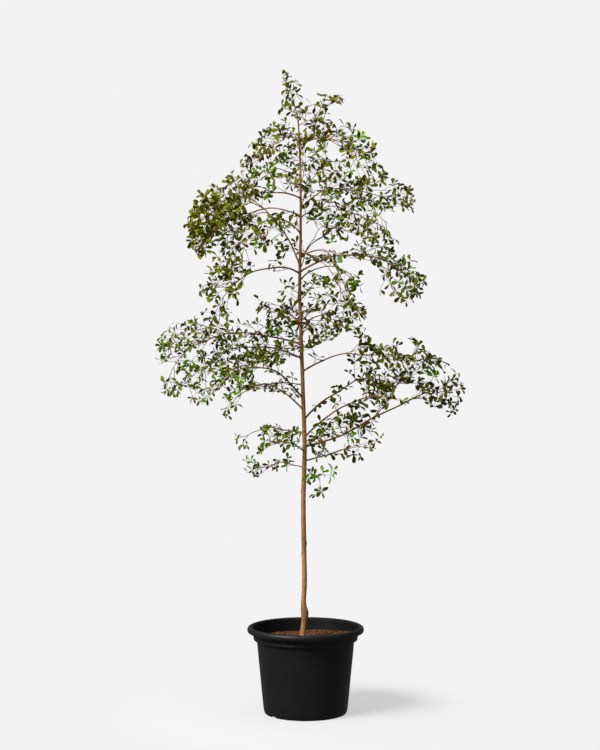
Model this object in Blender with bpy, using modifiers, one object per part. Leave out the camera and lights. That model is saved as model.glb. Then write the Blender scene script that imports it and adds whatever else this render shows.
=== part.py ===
"""Potted black olive tree: nursery pot, soil, trunk, boughs and leafy masses.

Units are metres and +Z is up. The origin is the centre of the pot's flat
underside. The front of the tree looks towards -Y, its right side is +X.
"""

import math
import random

import bmesh
import bpy
import numpy as np

OBJECT_NAME = "potted_black_olive_tree"
CUTTER_NAME = "cutters"
CLEAR = 0.0003
MERGE = 0.00001
UNION_MERGES = (0.000002, 0.00001, 0.0)
SLIVER = 0.000002

# Pot: outer body, stepped collar and a rounded lip, turned about the axis.
POT_SEGMENTS = 32
POT_WALL = 0.003
POT_FLOOR = 0.004
POT_FOOT_RADIUS = 0.1495
POT_FOOT_ROUND = 0.003
POT_BODY_LOW = (0.1594, 0.043)
POT_BODY_HIGH = (0.1763, 0.230)
POT_STEP_LOW = (0.1780, 0.2536)
POT_STEP_HIGH = (0.1846, 0.2620)
POT_COLLAR_LOW = (0.1925, 0.2750)
LIP_CENTRE = (0.1940, 0.3030)
LIP_OUT = 0.0215
LIP_UP = 0.0195
LIP_ANGLES = (78.0, 46.0, 14.0, -18.0, -48.0, -76.0)
LIP_INNER_DROP = 0.0055

# Drainage notches at the foot of the pot.
NOTCH_AZIMUTHS = (218.5, 158.5, 98.5, 38.5)
NOTCH_WIDTH = 0.029
NOTCH_HEIGHT = 0.008
NOTCH_INNER_RADIUS = 0.139

SOIL_TOP = 0.2705

# Trunk: sideways lean and radius at heights above the floor.
TRUNK_TIP = 2.205
TRUNK_SIDES = 10
TRUNK_LEAN = (
    (0.270, -0.0126), (0.310, -0.0082), (0.360, -0.0033), (0.395, -0.0072),
    (0.470, -0.0044), (0.600, -0.0061), (0.790, -0.0082), (0.970, -0.0038),
    (1.155, -0.0085), (1.360, -0.0156), (1.560, -0.0220), (1.790, -0.0182),
    (2.080, -0.0219), (2.175, -0.0267), (2.231, -0.0334), (2.300, -0.0555),
)
TRUNK_RADIUS = (
    (0.270, 0.0135), (0.290, 0.0112), (0.330, 0.0106), (0.368, 0.0130),
    (0.400, 0.0100), (0.470, 0.0094), (0.750, 0.0090), (1.155, 0.0075),
    (1.360, 0.0067), (1.560, 0.0060), (1.790, 0.0048), (2.080, 0.0036),
    (2.205, 0.0024),
)
TRUNK_STEPS = (
    0.290, 0.315, 0.345, 0.368, 0.390, 0.430, 0.500, 0.600, 0.700, 0.800,
    0.900, 1.000, 1.100, 1.250, 1.400, 1.550, 1.700, 1.850, 2.000, 2.100,
)

# The limbs are read from the front at this eye distance and height, so a
# tip that comes forward stands a little closer in than it looks.
EYE_DISTANCE = 5.909
EYE_HEIGHT = 1.300

# One row for each limb with its mass of foliage. Heights and the sideways
# reach are in metres as read from the front, depth is + to the back. rise
# and fall are the limb's slope in degrees at the trunk and at its tip. bare
# is the share that is bough, spread the mass's half width, thick its height
# against its width, and shoots the number of leafy shoots on its stem. A bare
# of zero sets the mass straight on the trunk.
LIMB_FIELDS = ("name", "root", "across", "depth", "tip", "rise", "fall",
               "radius", "bare", "spread", "thick", "shoots")
LIMBS = (
    ("top_right", 2.175, 0.115, -0.060, 2.285, 20, -50, 0.0016, 0.0, 0.060, 0.8, 3),
    ("upper_right_a", 2.100, 0.225, -0.110, 1.985, 35, 62, 0.0022, 0.26, 0.100, 0.8, 5),
    ("upper_right_b", 2.125, 0.175, 0.190, 2.110, 10, 0, 0.0018, 0.0, 0.085, 0.8, 4),
    ("upper_left_a", 2.130, -0.180, 0.110, 2.045, 8, 30, 0.0021, 0.24, 0.085, 0.9, 4),
    ("upper_left_b", 1.990, -0.215, -0.255, 1.960, 18, 25, 0.0021, 0.0, 0.105, 0.8, 5),
    ("left_high_a", 1.905, -0.385, -0.180, 1.825, 18, 38, 0.0028, 0.30, 0.100, 0.9, 6),
    ("left_high_b", 1.840, -0.400, 0.130, 1.720, 22, 50, 0.0029, 0.30, 0.125, 1.0, 7),
    ("left_steep", 1.655, -0.300, 0.285, 1.945, 68, -5, 0.0031, 0.46, 0.095, 0.8, 4),
    ("left_inner", 1.775, -0.245, -0.370, 1.640, 40, 65, 0.0026, 0.0, 0.110, 1.0, 5),
    ("right_high_a", 1.867, 0.360, 0.240, 1.880, 40, 20, 0.0028, 0.26, 0.105, 0.8, 5),
    ("right_high_b", 1.835, 0.260, -0.345, 1.790, 15, 40, 0.0026, 0.24, 0.110, 0.9, 5),
    ("front_high", 1.925, 0.090, -0.345, 2.050, 35, 0, 0.0022, 0.0, 0.105, 0.9, 4),
    ("back_high", 1.960, -0.060, 0.355, 2.040, 30, 5, 0.0022, 0.0, 0.105, 0.9, 4),
    ("left_mid", 1.626, -0.335, -0.150, 1.480, 25, 70, 0.0031, 0.34, 0.085, 0.9, 4),
    ("right_mid_a", 1.632, 0.405, -0.130, 1.590, 30, 50, 0.0036, 0.32, 0.100, 0.8, 5),
    ("right_mid_b", 1.595, 0.300, 0.300, 1.480, 40, 60, 0.0031, 0.26, 0.110, 1.0, 5),
    ("back_mid", 1.680, 0.110, 0.425, 1.800, 35, 0, 0.0028, 0.30, 0.115, 0.9, 4),
    ("front_mid", 1.690, 0.130, -0.415, 1.530, 18, 60, 0.0028, 0.28, 0.115, 0.9, 5),
    ("back_low", 1.425, 0.140, 0.435, 1.430, 30, 15, 0.0026, 0.0, 0.115, 0.8, 5),
    ("left_back", 1.440, -0.100, 0.380, 1.470, 30, 5, 0.0026, 0.0, 0.115, 0.8, 5),
    ("left_low_a", 1.363, -0.510, -0.110, 1.230, 20, 70, 0.0036, 0.24, 0.115, 0.8, 8),
    ("left_low_b", 1.311, -0.440, 0.310, 1.220, 25, 38, 0.0033, 0.24, 0.110, 0.8, 5),
    ("left_low_c", 1.160, -0.320, -0.425, 1.200, 50, 30, 0.0036, 0.28, 0.110, 0.7, 5),
    ("left_low_d", 1.120, -0.215, 0.460, 1.190, 35, 12, 0.0033, 0.30, 0.110, 0.7, 5),
    ("left_low_e", 1.215, -0.270, -0.060, 1.150, 5, 45, 0.0026, 0.0, 0.080, 0.8, 3),
    ("right_low_a", 1.262, 0.325, -0.275, 1.305, 32, 10, 0.0034, 0.26, 0.095, 0.8, 5),
    ("right_low_b", 1.085, 0.350, 0.400, 1.190, 42, 25, 0.0036, 0.34, 0.105, 0.7, 5),
    ("right_low_c", 1.020, 0.310, -0.380, 1.165, 40, 5, 0.0036, 0.34, 0.105, 0.7, 5),
    ("right_low_d", 0.985, 0.540, 0.080, 1.205, 12, -8, 0.0038, 0.36, 0.115, 0.8, 7),
    ("right_bottom", 0.932, 0.205, -0.265, 0.985, 10, 0, 0.0030, 0.28, 0.090, 0.7, 4),
    ("right_drop", 0.905, 0.060, -0.110, 0.825, 0, 70, 0.0016, 0.0, 0.050, 1.0, 3),
    ("left_bottom_a", 1.035, -0.225, 0.265, 1.010, 8, 28, 0.0030, 0.26, 0.085, 0.7, 4),
    ("left_bottom_b", 0.968, -0.115, -0.320, 1.000, 20, 5, 0.0026, 0.0, 0.085, 0.7, 3),
    ("left_bottom_c", 0.906, -0.195, 0.110, 0.885, 20, 25, 0.0024, 0.0, 0.060, 0.7, 3),
)
LEADER = {"name": "leader", "lean": -0.034, "top": 2.325, "spread": 0.040,
          "thick": 1.0, "shoots": 4}
LEADER_BEND = 0.06
LEADER_NOD = -0.004

LIMB_SIDES = 6
LIMB_POINTS = 6
STEM_POINTS = 6
STEM_SIDES = 4
SAMPLE_POINTS = 90
HANDLE = 0.40
TURN = 16.0
SWAY = 0.006
SWAY_TURNS = 2.2
GOLDEN = 0.618
ROOT_FLARE = 1.15
BOUGH_TAPER = 0.62
STEM_TAPER = 0.80
STEM_LEAST = 0.0023
TIP_ROOM = 0.055

# Shoots stand along each mass's stem and carry the leaves.
SEED = 1000
PAIR_SHARES = (0.66,)
SHOOT_ANGLE = (36.0, 66.0)
SHOOT_SCALE = (0.72, 1.12)
SHOOT_RADIUS = 0.00135
SHOOT_TIP_RADIUS = 0.00115
STALK_RADIUS = 0.00040
MASS_TRIES = 8
SHOOT_TRIES = 14
LEAF_TRIES = 16
LAST_SIZE = 0.28
TURN_STEP = 137.5

LEAF_LENGTH = (0.056, 0.074)
LEAF_WIDTH = 0.52
LEAF_THICK = 0.036
LEAF_WIDEST = 0.62
TIP_SUNK = 0.0010
LEAF_FAN = (50.0, 72.0)
LEAF_TILT = 12.0
TIP_SPINS = (0.12,)
PAIR_SPINS = (1.0, -1.0)
LEAF_SCALE = (0.45, 5.5)
BLADE_SHARES = (0.14, 0.28, 0.45, 0.62, 0.80, 1.0)
BLADE_ACROSS = (-1.0, -0.5, 0.0, 0.5, 1.0)
BLADE_CLEAR = 0.0075
TWIG_CLEAR = 0.0050
SPACE_MARGIN = 0.0035
LIMB_MARGIN = 0.0040


def clear_scene():
    """Remove every object that is in the file."""
    for item in list(bpy.data.objects):
        bpy.data.objects.remove(item, do_unlink=True)


def new_collection(name):
    """Return a collection of this name, linked to the scene."""
    collection = bpy.data.collections.new(name)
    bpy.context.scene.collection.children.link(collection)
    return collection


def make_material(name, colour, roughness, metallic=0.0):
    """Return a material with a Principled BSDF of these values."""
    material = bpy.data.materials.new(name)
    material.use_nodes = True
    shader = material.node_tree.nodes["Principled BSDF"]
    shader.inputs["Base Color"].default_value = (*colour, 1.0)
    shader.inputs["Roughness"].default_value = roughness
    shader.inputs["Metallic"].default_value = metallic
    material.diffuse_color = (*colour, 1.0)
    return material


def pot_material():
    """Black moulded plastic with a dull sheen."""
    return make_material("pot_plastic", (0.012, 0.012, 0.013), 0.5)


def soil_material():
    """Reddish brown coir and bark mix."""
    return make_material("soil_mix", (0.16, 0.055, 0.02), 0.95)


def bark_material():
    """Tan bark of the trunk."""
    return make_material("trunk_bark", (0.36, 0.20, 0.10), 0.8)


def bough_material():
    """Reddish brown bark of the boughs."""
    return make_material("bough_bark", (0.17, 0.07, 0.035), 0.75)


def leaf_material():
    """Dark olive green leaves."""
    return make_material("olive_leaf", (0.045, 0.085, 0.014), 0.45)


def smooth_lookup(table, value):
    """Read a smooth curve through the table's (place, size) pairs."""
    places = np.array([row[0] for row in table])
    sizes = np.array([row[1] for row in table])
    slopes = np.gradient(sizes, places)
    index = int(np.clip(np.searchsorted(places, value) - 1, 0, len(places) - 2))
    step = places[index + 1] - places[index]
    t = float(np.clip((value - places[index]) / step, 0.0, 1.0))
    low = (2 * t ** 3 - 3 * t ** 2 + 1) * sizes[index]
    low += (t ** 3 - 2 * t ** 2 + t) * step * slopes[index]
    high = (3 * t ** 2 - 2 * t ** 3) * sizes[index + 1]
    high += (t ** 3 - t ** 2) * step * slopes[index + 1]
    return float(low + high)


def trunk_point(height):
    """Return the trunk's axis at this height."""
    return np.array([smooth_lookup(TRUNK_LEAN, height), 0.0, height])


def trunk_radius(height):
    """Return the trunk's radius at this height."""
    return smooth_lookup(TRUNK_RADIUS, height)


def from_front(point):
    """Move a point that is read from the front to its place in depth."""
    near = 1.0 + point[1] / EYE_DISTANCE
    return np.array([
        point[0] * near,
        point[1],
        EYE_HEIGHT + (point[2] - EYE_HEIGHT) * near,
    ])


def limb_curve(limb, order):
    """Return points along a limb: a cubic arch from the trunk to its tip."""
    root = trunk_point(limb["root"])
    tip = np.array([limb["across"], limb["depth"], limb["tip"]])
    flat = tip[:2] - root[:2]
    reach = float(np.hypot(*flat))
    heading = math.atan2(flat[1], flat[0])
    turn = math.radians(TURN) * (1 if order % 2 else -1)
    handle = HANDLE * math.hypot(reach, tip[2] - root[2])
    ends = []
    for slope, bend in ((limb["rise"], turn), (-limb["fall"], -turn)):
        slope = math.radians(slope)
        ends.append(np.array([
            math.cos(slope) * math.cos(heading + bend),
            math.cos(slope) * math.sin(heading + bend),
            math.sin(slope),
        ]) * handle)
    t = np.linspace(0.0, 1.0, SAMPLE_POINTS)[:, None]
    curve = (1 - t) ** 3 * root
    curve = curve + 3 * (1 - t) ** 2 * t * (root + ends[0])
    curve = curve + 3 * (1 - t) * t ** 2 * (tip - ends[1])
    curve = curve + t ** 3 * tip
    phase = 2 * math.pi * (SWAY_TURNS * t + GOLDEN * order)
    wave = np.sin(phase) * np.sin(math.pi * t)
    side = np.array([-math.sin(heading), math.cos(heading), 0.6])
    curve = curve + SWAY * wave * side
    return np.array([from_front(point) for point in curve])


def resample(points, count):
    """Return this many points evenly spaced along a line of points."""
    steps = np.linalg.norm(np.diff(points, axis=0), axis=1)
    along = np.concatenate([[0.0], np.cumsum(steps)])
    marks = np.linspace(0.0, along[-1], count)
    return np.stack([np.interp(marks, along, points[:, i]) for i in range(3)], axis=1)


def cut_line(points, start, end):
    """Return the stretch of a line between two lengths from its start."""
    steps = np.linalg.norm(np.diff(points, axis=0), axis=1)
    along = np.concatenate([[0.0], np.cumsum(steps)])
    marks = np.linspace(start, end, SAMPLE_POINTS)
    return np.stack([np.interp(marks, along, points[:, i]) for i in range(3)], axis=1)


def line_length(points):
    """Return the length of a line of points."""
    return float(np.linalg.norm(np.diff(points, axis=0), axis=1).sum())


def tube(name, points, radii, sides):
    """Return a closed mesh object swept along points with these radii."""
    curve = bpy.data.curves.new(name, "CURVE")
    curve.dimensions = "3D"
    curve.bevel_depth = 1.0
    curve.bevel_resolution = (sides - 4) // 2
    curve.use_fill_caps = True
    spline = curve.splines.new("POLY")
    spline.points.add(len(points) - 1)
    for item, point, radius in zip(spline.points, points, radii):
        item.co = (*point, 1.0)
        item.radius = radius
    guide = bpy.data.objects.new(name + "_guide", curve)
    bpy.context.scene.collection.objects.link(guide)
    depsgraph = bpy.context.evaluated_depsgraph_get()
    mesh = bpy.data.meshes.new_from_object(guide.evaluated_get(depsgraph))
    mesh.name = name
    body = bmesh.new()
    body.from_mesh(mesh)
    bmesh.ops.remove_doubles(body, verts=body.verts, dist=MERGE)
    bmesh.ops.recalc_face_normals(body, faces=body.faces)
    body.to_mesh(mesh)
    body.free()
    result = bpy.data.objects.new(name, mesh)
    result.matrix_world = guide.matrix_world.copy()
    bpy.data.objects.remove(guide, do_unlink=True)
    return result


def smooth_shade(item, angle=50.0):
    """Shade a round piece smooth, with its edges kept sharp."""
    item.data.shade_smooth()
    item.data.set_sharp_from_angle(angle=math.radians(angle))


def turned(name, profile, segments):
    """Return an object turned about Z from a profile of (radius, height)."""
    mesh = bpy.data.meshes.new(name)
    points = [(radius, 0.0, height) for radius, height in profile]
    edges = [(i, i + 1) for i in range(len(points) - 1)]
    mesh.from_pydata(points, edges, [])
    item = bpy.data.objects.new(name, mesh)
    screw = item.modifiers.new("turn", "SCREW")
    screw.steps = segments
    screw.render_steps = segments
    screw.use_merge_vertices = True
    screw.merge_threshold = MERGE
    screw.use_smooth_shade = True
    return item


def pot_outer_profile():
    """Outer side of the pot, from the crown of its lip to its foot."""
    lip = []
    for angle in LIP_ANGLES:
        turn = math.radians(angle)
        lip.append((LIP_CENTRE[0] + LIP_OUT * math.cos(turn),
                    LIP_CENTRE[1] + LIP_UP * math.sin(turn)))
    foot = [(POT_FOOT_RADIUS + POT_FOOT_ROUND * 0.75, POT_FOOT_ROUND),
            (POT_FOOT_RADIUS, 0.0)]
    return lip + [POT_COLLAR_LOW, POT_STEP_HIGH, POT_STEP_LOW,
                  POT_BODY_HIGH, POT_BODY_LOW] + foot


def pot_inner_profile():
    """Inner side of the pot's wall, from its floor up to the lip."""
    wall = [(POT_FOOT_RADIUS - POT_WALL * 0.5, POT_FLOOR)]
    for radius, height in (POT_BODY_LOW, POT_BODY_HIGH, POT_STEP_LOW,
                           POT_STEP_HIGH, POT_COLLAR_LOW):
        wall.append((radius - POT_WALL, height + POT_WALL * 0.3))
    top = LIP_CENTRE[1] + LIP_UP - LIP_INNER_DROP
    wall.append((LIP_CENTRE[0] - POT_WALL, top))
    return wall


def make_pot(parts, cutters):
    """Turned nursery pot with drainage notches at its foot."""
    profile = [(0.0, POT_FLOOR)] + pot_inner_profile()
    profile += pot_outer_profile() + [(0.0, 0.0)]
    pot = turned("pot", profile, POT_SEGMENTS)
    parts.objects.link(pot)
    for order, azimuth in enumerate(NOTCH_AZIMUTHS):
        cutter = notch_cutter(order, azimuth)
        cutters.objects.link(cutter)
        cut = pot.modifiers.new("notch_%d" % order, "BOOLEAN")
        cut.operation = "DIFFERENCE"
        cut.object = cutter
    pot.data.materials.append(pot_material())
    return pot


def notch_cutter(order, azimuth):
    """Box that cuts one notch through the foot of the wall."""
    outer = POT_BODY_LOW[0] + POT_WALL
    depth = outer - NOTCH_INNER_RADIUS
    mesh = bpy.data.meshes.new("notch_cutter_%d" % order)
    body = bmesh.new()
    bmesh.ops.create_cube(body, size=1.0)
    bmesh.ops.scale(body, verts=body.verts, vec=(depth, NOTCH_WIDTH, 2 * NOTCH_HEIGHT))
    bmesh.ops.translate(body, verts=body.verts, vec=(outer - depth / 2, 0.0, 0.0))
    body.to_mesh(mesh)
    body.free()
    cutter = bpy.data.objects.new(mesh.name, mesh)
    cutter.rotation_euler = (0.0, 0.0, math.radians(azimuth))
    cutter.hide_render = True
    cutter.display_type = "WIRE"
    return cutter


def make_soil(parts):
    """Soil that fills the pot, clear of its wall and floor."""
    wall = [(radius, height) for radius, height in pot_inner_profile()
            if height < SOIL_TOP]
    radii = [row[0] for row in pot_inner_profile()]
    heights = [row[1] for row in pot_inner_profile()]
    top_radius = float(np.interp(SOIL_TOP, heights, radii))
    gap = 1.6 * CLEAR
    lower = POT_FLOOR + CLEAR
    side = [(radius - gap, max(height, lower)) for radius, height in wall]
    profile = [(0.0, SOIL_TOP), (top_radius - gap, SOIL_TOP)]
    profile += list(reversed(side)) + [(0.0, lower)]
    soil = turned("soil", profile, POT_SEGMENTS)
    parts.objects.link(soil)
    soil.data.materials.append(soil_material())
    return soil


def trunk_tube(name, extra):
    """Trunk swept up its axis, its radius grown by extra."""
    heights = [SOIL_TOP + CLEAR] + list(TRUNK_STEPS) + [TRUNK_TIP]
    points = [trunk_point(height) for height in heights]
    points[1][0] = points[0][0]
    radii = [trunk_radius(height) + extra for height in heights]
    if extra:
        points[0][2] -= extra
        points[-1][2] += extra
    return tube(name, points, radii, TRUNK_SIDES)


def make_trunk(parts):
    """One solid trunk from a flat cut on the soil to its tip."""
    trunk = trunk_tube("trunk", 0.0)
    parts.objects.link(trunk)
    trunk.data.materials.append(bark_material())
    smooth_shade(trunk)
    return trunk


def make_trunk_cutter(cutters):
    """The trunk's shape with its clearance, which seats the boughs."""
    cutter = trunk_tube("trunk_clearance", 1.2 * CLEAR)
    cutter.hide_render = True
    cutter.display_type = "WIRE"
    cutters.objects.link(cutter)
    return cutter


def set_stem(limb, line):
    """Give a limb the knots of its stem and the places along them."""
    limb["stem_knots"] = resample(line, STEM_POINTS)
    limb["stem_line"] = resample(limb["stem_knots"], SAMPLE_POINTS)


def seat_bend(limb):
    """Return the sine of the bend between a bough's end and its stem."""
    end = resample(limb["bough_line"], LIMB_POINTS)[-2:]
    start = limb["stem_knots"][:2]
    turn = np.cross(unit(end[1] - end[0]), unit(start[1] - start[0]))
    return float(np.linalg.norm(turn))


def plan_limbs():
    """Work out each limb's line, its bough stretch and its stem stretch."""
    plans = []
    for order, row in enumerate(LIMBS):
        limb = dict(zip(LIMB_FIELDS, row))
        line = limb_curve(limb, order)
        length = line_length(line)
        if limb["bare"] > 0.0:
            split = length * limb["bare"]
            limb["bough_line"] = cut_line(line, 0.0, split)
            limb["stem_radius"] = max(limb["radius"] * BOUGH_TAPER, STEM_LEAST)
            set_stem(limb, cut_line(line, split, length - TIP_ROOM))
            stem_start = split + CLEAR + limb["stem_radius"] * seat_bend(limb)
        else:
            stem_start = trunk_radius(limb["root"]) / 2
            limb["bough_line"] = None
            limb["stem_radius"] = max(limb["radius"], STEM_LEAST)
        set_stem(limb, cut_line(line, stem_start, length - TIP_ROOM))
        limb["order"] = order
        limb["on_trunk"] = limb["bough_line"] is None
        plans.append(limb)
    leader = dict(LEADER)
    foot = trunk_point(TRUNK_TIP)
    foot[2] += CLEAR
    middle = trunk_point(TRUNK_TIP + LEADER_BEND)
    tip = np.array([foot[0] + leader["lean"], LEADER_NOD, leader["top"]])
    set_stem(leader, np.array([foot, middle, tip]))
    leader["bough_line"] = None
    leader["stem_radius"] = STEM_LEAST
    leader["order"] = len(LIMBS)
    leader["on_trunk"] = False
    plans.append(leader)
    return plans


def seat_on_trunk(item, trunk_cutter):
    """Cut a limb's inner end to the trunk's side, with its clearance."""
    cut = item.modifiers.new("seat", "BOOLEAN")
    cut.operation = "DIFFERENCE"
    cut.object = trunk_cutter


def apply_modifiers(item):
    """Give an object the mesh that its modifiers make."""
    depsgraph = bpy.context.evaluated_depsgraph_get()
    item.data = bpy.data.meshes.new_from_object(item.evaluated_get(depsgraph))
    item.modifiers.clear()


def make_bough(limb, parts, trunk_cutter, bark):
    """One tapering bough, its inner end cut to the trunk's side."""
    points = resample(limb["bough_line"], LIMB_POINTS)
    radii = np.linspace(1.0, BOUGH_TAPER, LIMB_POINTS) * limb["radius"]
    radii[0] *= ROOT_FLARE
    bough = tube("bough_" + limb["name"], points, radii, LIMB_SIDES)
    seat_on_trunk(bough, trunk_cutter)
    parts.objects.link(bough)
    bough.data.materials.append(bark)
    smooth_shade(bough)
    return bough


def nearest(points, line):
    """Return the smallest distance from each point to a line's samples."""
    gaps = points[:, None, :] - line[None, :, :]
    return np.sqrt((gaps ** 2).sum(axis=2)).min(axis=1)


class Space:
    """Room that a mass may fill: nearer its own stem than any other."""

    def __init__(self, plans, limb):
        self.own = limb["stem_line"]
        others = [plan["stem_line"] for plan in plans if plan is not limb]
        self.others = np.concatenate(others)
        limbs = []
        sizes = []
        heights = np.linspace(SOIL_TOP, TRUNK_TIP, 700)
        limbs.append(np.array([trunk_point(height) for height in heights]))
        sizes.append(np.array([trunk_radius(height) for height in heights]))
        for plan in plans:
            if plan["bough_line"] is not None:
                limbs.append(plan["bough_line"])
                count = len(plan["bough_line"])
                sizes.append(np.full(count, plan["radius"]))
        self.limbs = np.concatenate(limbs)
        self.sizes = np.concatenate(sizes)

    def free(self, points):
        """Tell whether all the points lie in the mass's own room."""
        own = nearest(points, self.own)
        other = nearest(points, self.others)
        if np.any(own + SPACE_MARGIN > other):
            return False
        gaps = points[:, None, :] - self.limbs[None, :, :]
        room = np.sqrt((gaps ** 2).sum(axis=2)) - self.sizes[None, :]
        return bool(room.min() > LIMB_MARGIN)


def unit(vector):
    """Return the vector at length one."""
    return vector / np.linalg.norm(vector)


def frame_at(line, share):
    """Return place, heading, side and up of a line at a share of it."""
    index = int(round(share * (len(line) - 1)))
    low = max(index - 3, 0)
    high = min(index + 3, len(line) - 1)
    heading = unit(line[high] - line[low])
    side = np.cross(heading, np.array([0.0, 0.0, 1.0]))
    if np.linalg.norm(side) < 0.35:
        side = np.array([1.0, 0.0, 0.0])
    side = unit(side - heading * float(side @ heading))
    return line[index], heading, side, np.cross(side, heading)


def loft(name, rings):
    """Return a closed mesh through rings of one or three places."""
    mesh = bpy.data.meshes.new(name)
    body = bmesh.new()
    rows = [[body.verts.new(place) for place in ring] for ring in rings]
    for low, high in zip(rows[:-1], rows[1:]):
        for index in range(3):
            after = (index + 1) % 3
            if len(low) == 1:
                body.faces.new((low[0], high[index], high[after]))
            elif len(high) == 1:
                body.faces.new((low[index], high[0], low[after]))
            else:
                body.faces.new((low[index], high[index], low[after]))
                body.faces.new((low[after], high[index], high[after]))
    if len(rows[0]) == 3:
        body.faces.new(rows[0])
    bmesh.ops.recalc_face_normals(body, faces=body.faces)
    body.to_mesh(mesh)
    body.free()
    return mesh


def blade_ring(root, heading, face, length):
    """Return a leaf's widest section: two edges and the midrib."""
    side = np.cross(face, heading) * length * LEAF_WIDTH / 2
    middle = root + heading * length * LEAF_WIDEST
    lift = face * length * LEAF_THICK
    return [middle - side, middle + side, middle + lift]


def twig_ring(place, side, lift, radius):
    """Return a twig's three-sided section about a place on its axis."""
    return [place - side * radius * 0.87 - lift * radius * 0.5,
            place + side * radius * 0.87 - lift * radius * 0.5,
            place + lift * radius]


def match_ring(ring, guide):
    """Return a ring started at the place that twists least to a guide."""
    offsets = np.array(ring) - np.mean(ring, axis=0)
    aims = np.array(guide) - np.mean(guide, axis=0)
    scores = [float((np.roll(offsets, -shift, axis=0) * aims).sum()) for shift in range(3)]
    shift = int(np.argmax(scores))
    return ring[shift:] + ring[:shift]


def leaf_mesh(name, leaves):
    """Return one leaf, or a pair that crosses the twig at one node."""
    root, heading, face, length = leaves[0]
    stalk = twig_ring(root, np.cross(face, heading), face, STALK_RADIUS)
    ring = blade_ring(root, heading, face, length)
    rings = [stalk, ring, [root + heading * length]]
    if len(leaves) > 1:
        root, heading, face, length = leaves[1]
        ring = blade_ring(root, heading, face, length)
        near = match_ring([ring[1], ring[0], ring[2]], stalk)
        rings = [[root + heading * length], near] + rings
    return loft(name, rings)


def leaf_points(root, heading, face, length):
    """Return places spread over a leaf's blade, for its space test."""
    side = np.cross(face, heading) * length * LEAF_WIDTH / 2
    marks = []
    for share in BLADE_SHARES:
        if share < LEAF_WIDEST:
            width = share / LEAF_WIDEST
        else:
            width = (1.0 - share) / (1.0 - LEAF_WIDEST)
        for across in BLADE_ACROSS:
            marks.append(root + heading * length * share + side * width * across)
    return np.array(marks)


def shoot_mesh(name, root, tip, side, leaf):
    """Return a three-sided twig that widens into the leaf at its end."""
    foot, heading, face, length = leaf
    lift = np.cross(side, unit(tip - root))
    rings = []
    for place, radius in ((root, SHOOT_RADIUS), (tip, SHOOT_TIP_RADIUS)):
        rings.append(twig_ring(place, -side, lift, radius))
    rings.append(match_ring(blade_ring(foot, heading, face, length), rings[-1]))
    rings.append([foot + heading * length])
    return loft(name, rings)


def plan_leaf(rng, course, side, roll, spin):
    """Return a leaf's heading, face and length in a fan about its twig."""
    up = np.cross(side, course)
    out = side * math.cos(roll) + up * math.sin(roll)
    angle = math.radians(rng.uniform(*LEAF_FAN)) * spin
    heading = unit(course * math.cos(angle) + out * math.sin(angle))
    face = np.cross(out, course)
    tilt = math.radians(rng.uniform(-LEAF_TILT, LEAF_TILT))
    face = unit(face * math.cos(tilt) + np.cross(heading, face) * math.sin(tilt))
    return heading, face, rng.uniform(*LEAF_LENGTH)


def plan_shoot(rng, limb, count, number):
    """Return a shoot's root, tip, heading and side on the mass's stem."""
    share = min(1.0, (number + rng.uniform(0.35, 0.75)) / count)
    last = number == count - 1
    root, heading, side, up = frame_at(limb["stem_line"], 1.0 if last else share)
    if last:
        course = heading
        size = LAST_SIZE
    else:
        spin = 1 if (number + limb["order"]) % 2 else -1
        lift = math.radians(90.0) * limb["thick"] * rng.uniform(-1.0, 1.0)
        if limb["thick"] >= 1.0:
            lift = math.radians(TURN_STEP) * number
        angle = math.radians(rng.uniform(*SHOOT_ANGLE))
        out = side * spin * math.cos(lift) + up * math.sin(lift)
        course = unit(heading * math.cos(angle) + out * math.sin(angle))
        size = 0.60 + 0.40 * math.sin(math.pi * min(share * 0.9, 1.0))
    size *= rng.uniform(*SHOOT_SCALE) * limb["spread"]
    back = root - heading * (TIP_SUNK if last else 0.0)
    across = np.cross(course, np.array([0.0, 0.0, 1.0]))
    if np.linalg.norm(across) < 0.2:
        across = np.array([1.0, 0.0, 0.0])
    return back, root + course * size, course, unit(across)


def plan_mass(plans, limb, attempt=0):
    """List the shoots and leaves of one mass that fit its own space."""
    rng = random.Random(SEED + 17 * limb["order"] + 1009 * attempt)
    space = Space(plans, limb)
    count = limb["shoots"]
    scale = min(1.0, LEAF_SCALE[0] + LEAF_SCALE[1] * limb["spread"])
    shoots = []
    leaves = []
    twigs = [limb["stem_line"]]
    blades = []
    for number in range(count):
        for trial in range(SHOOT_TRIES):
            root, tip, course, side = plan_shoot(rng, limb, count, number)
            marks = root + (tip - root) * np.linspace(0.3, 1.0, 8)[:, None]
            if not space.free(marks):
                continue
            if blades and nearest(marks, np.concatenate(blades)).min() < BLADE_CLEAR:
                continue
            found, sheets = plan_leaves(rng, space, (root, tip, course, side), scale,
                                        np.concatenate(twigs), blades)
            if len(found) > 1 or (found and trial > SHOOT_TRIES // 2):
                shoots.append((root, tip, side, found[0][0]))
                leaves.extend(found[1:])
                blades.extend(sheets)
                twigs.append(root + (tip - root) * np.linspace(0.0, 1.0, 12)[:, None])
                break
    return shoots, leaves


def fit_node(rng, space, shoot, foot, spins, scale, taken):
    """Return the leaves of one node that keep to their space."""
    course, side = shoot
    best = ([], [])
    for attempt in range(LEAF_TRIES):
        roll = rng.uniform(-math.pi / 2, math.pi / 2)
        node = []
        sheets = []
        for spin in spins:
            heading, face, length = plan_leaf(rng, course, side, roll, spin)
            length *= scale
            marks = leaf_points(foot, heading, face, length)
            blades = taken[0] + sheets
            if blades and nearest(marks, np.concatenate(blades)).min() < BLADE_CLEAR:
                continue
            if nearest(marks, taken[1]).min() < TWIG_CLEAR:
                continue
            if space.free(marks):
                node.append((foot, heading, face, length))
                sheets.append(marks)
        if len(node) > len(best[0]):
            best = (node, sheets)
        if len(node) == len(spins):
            break
    return best


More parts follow.
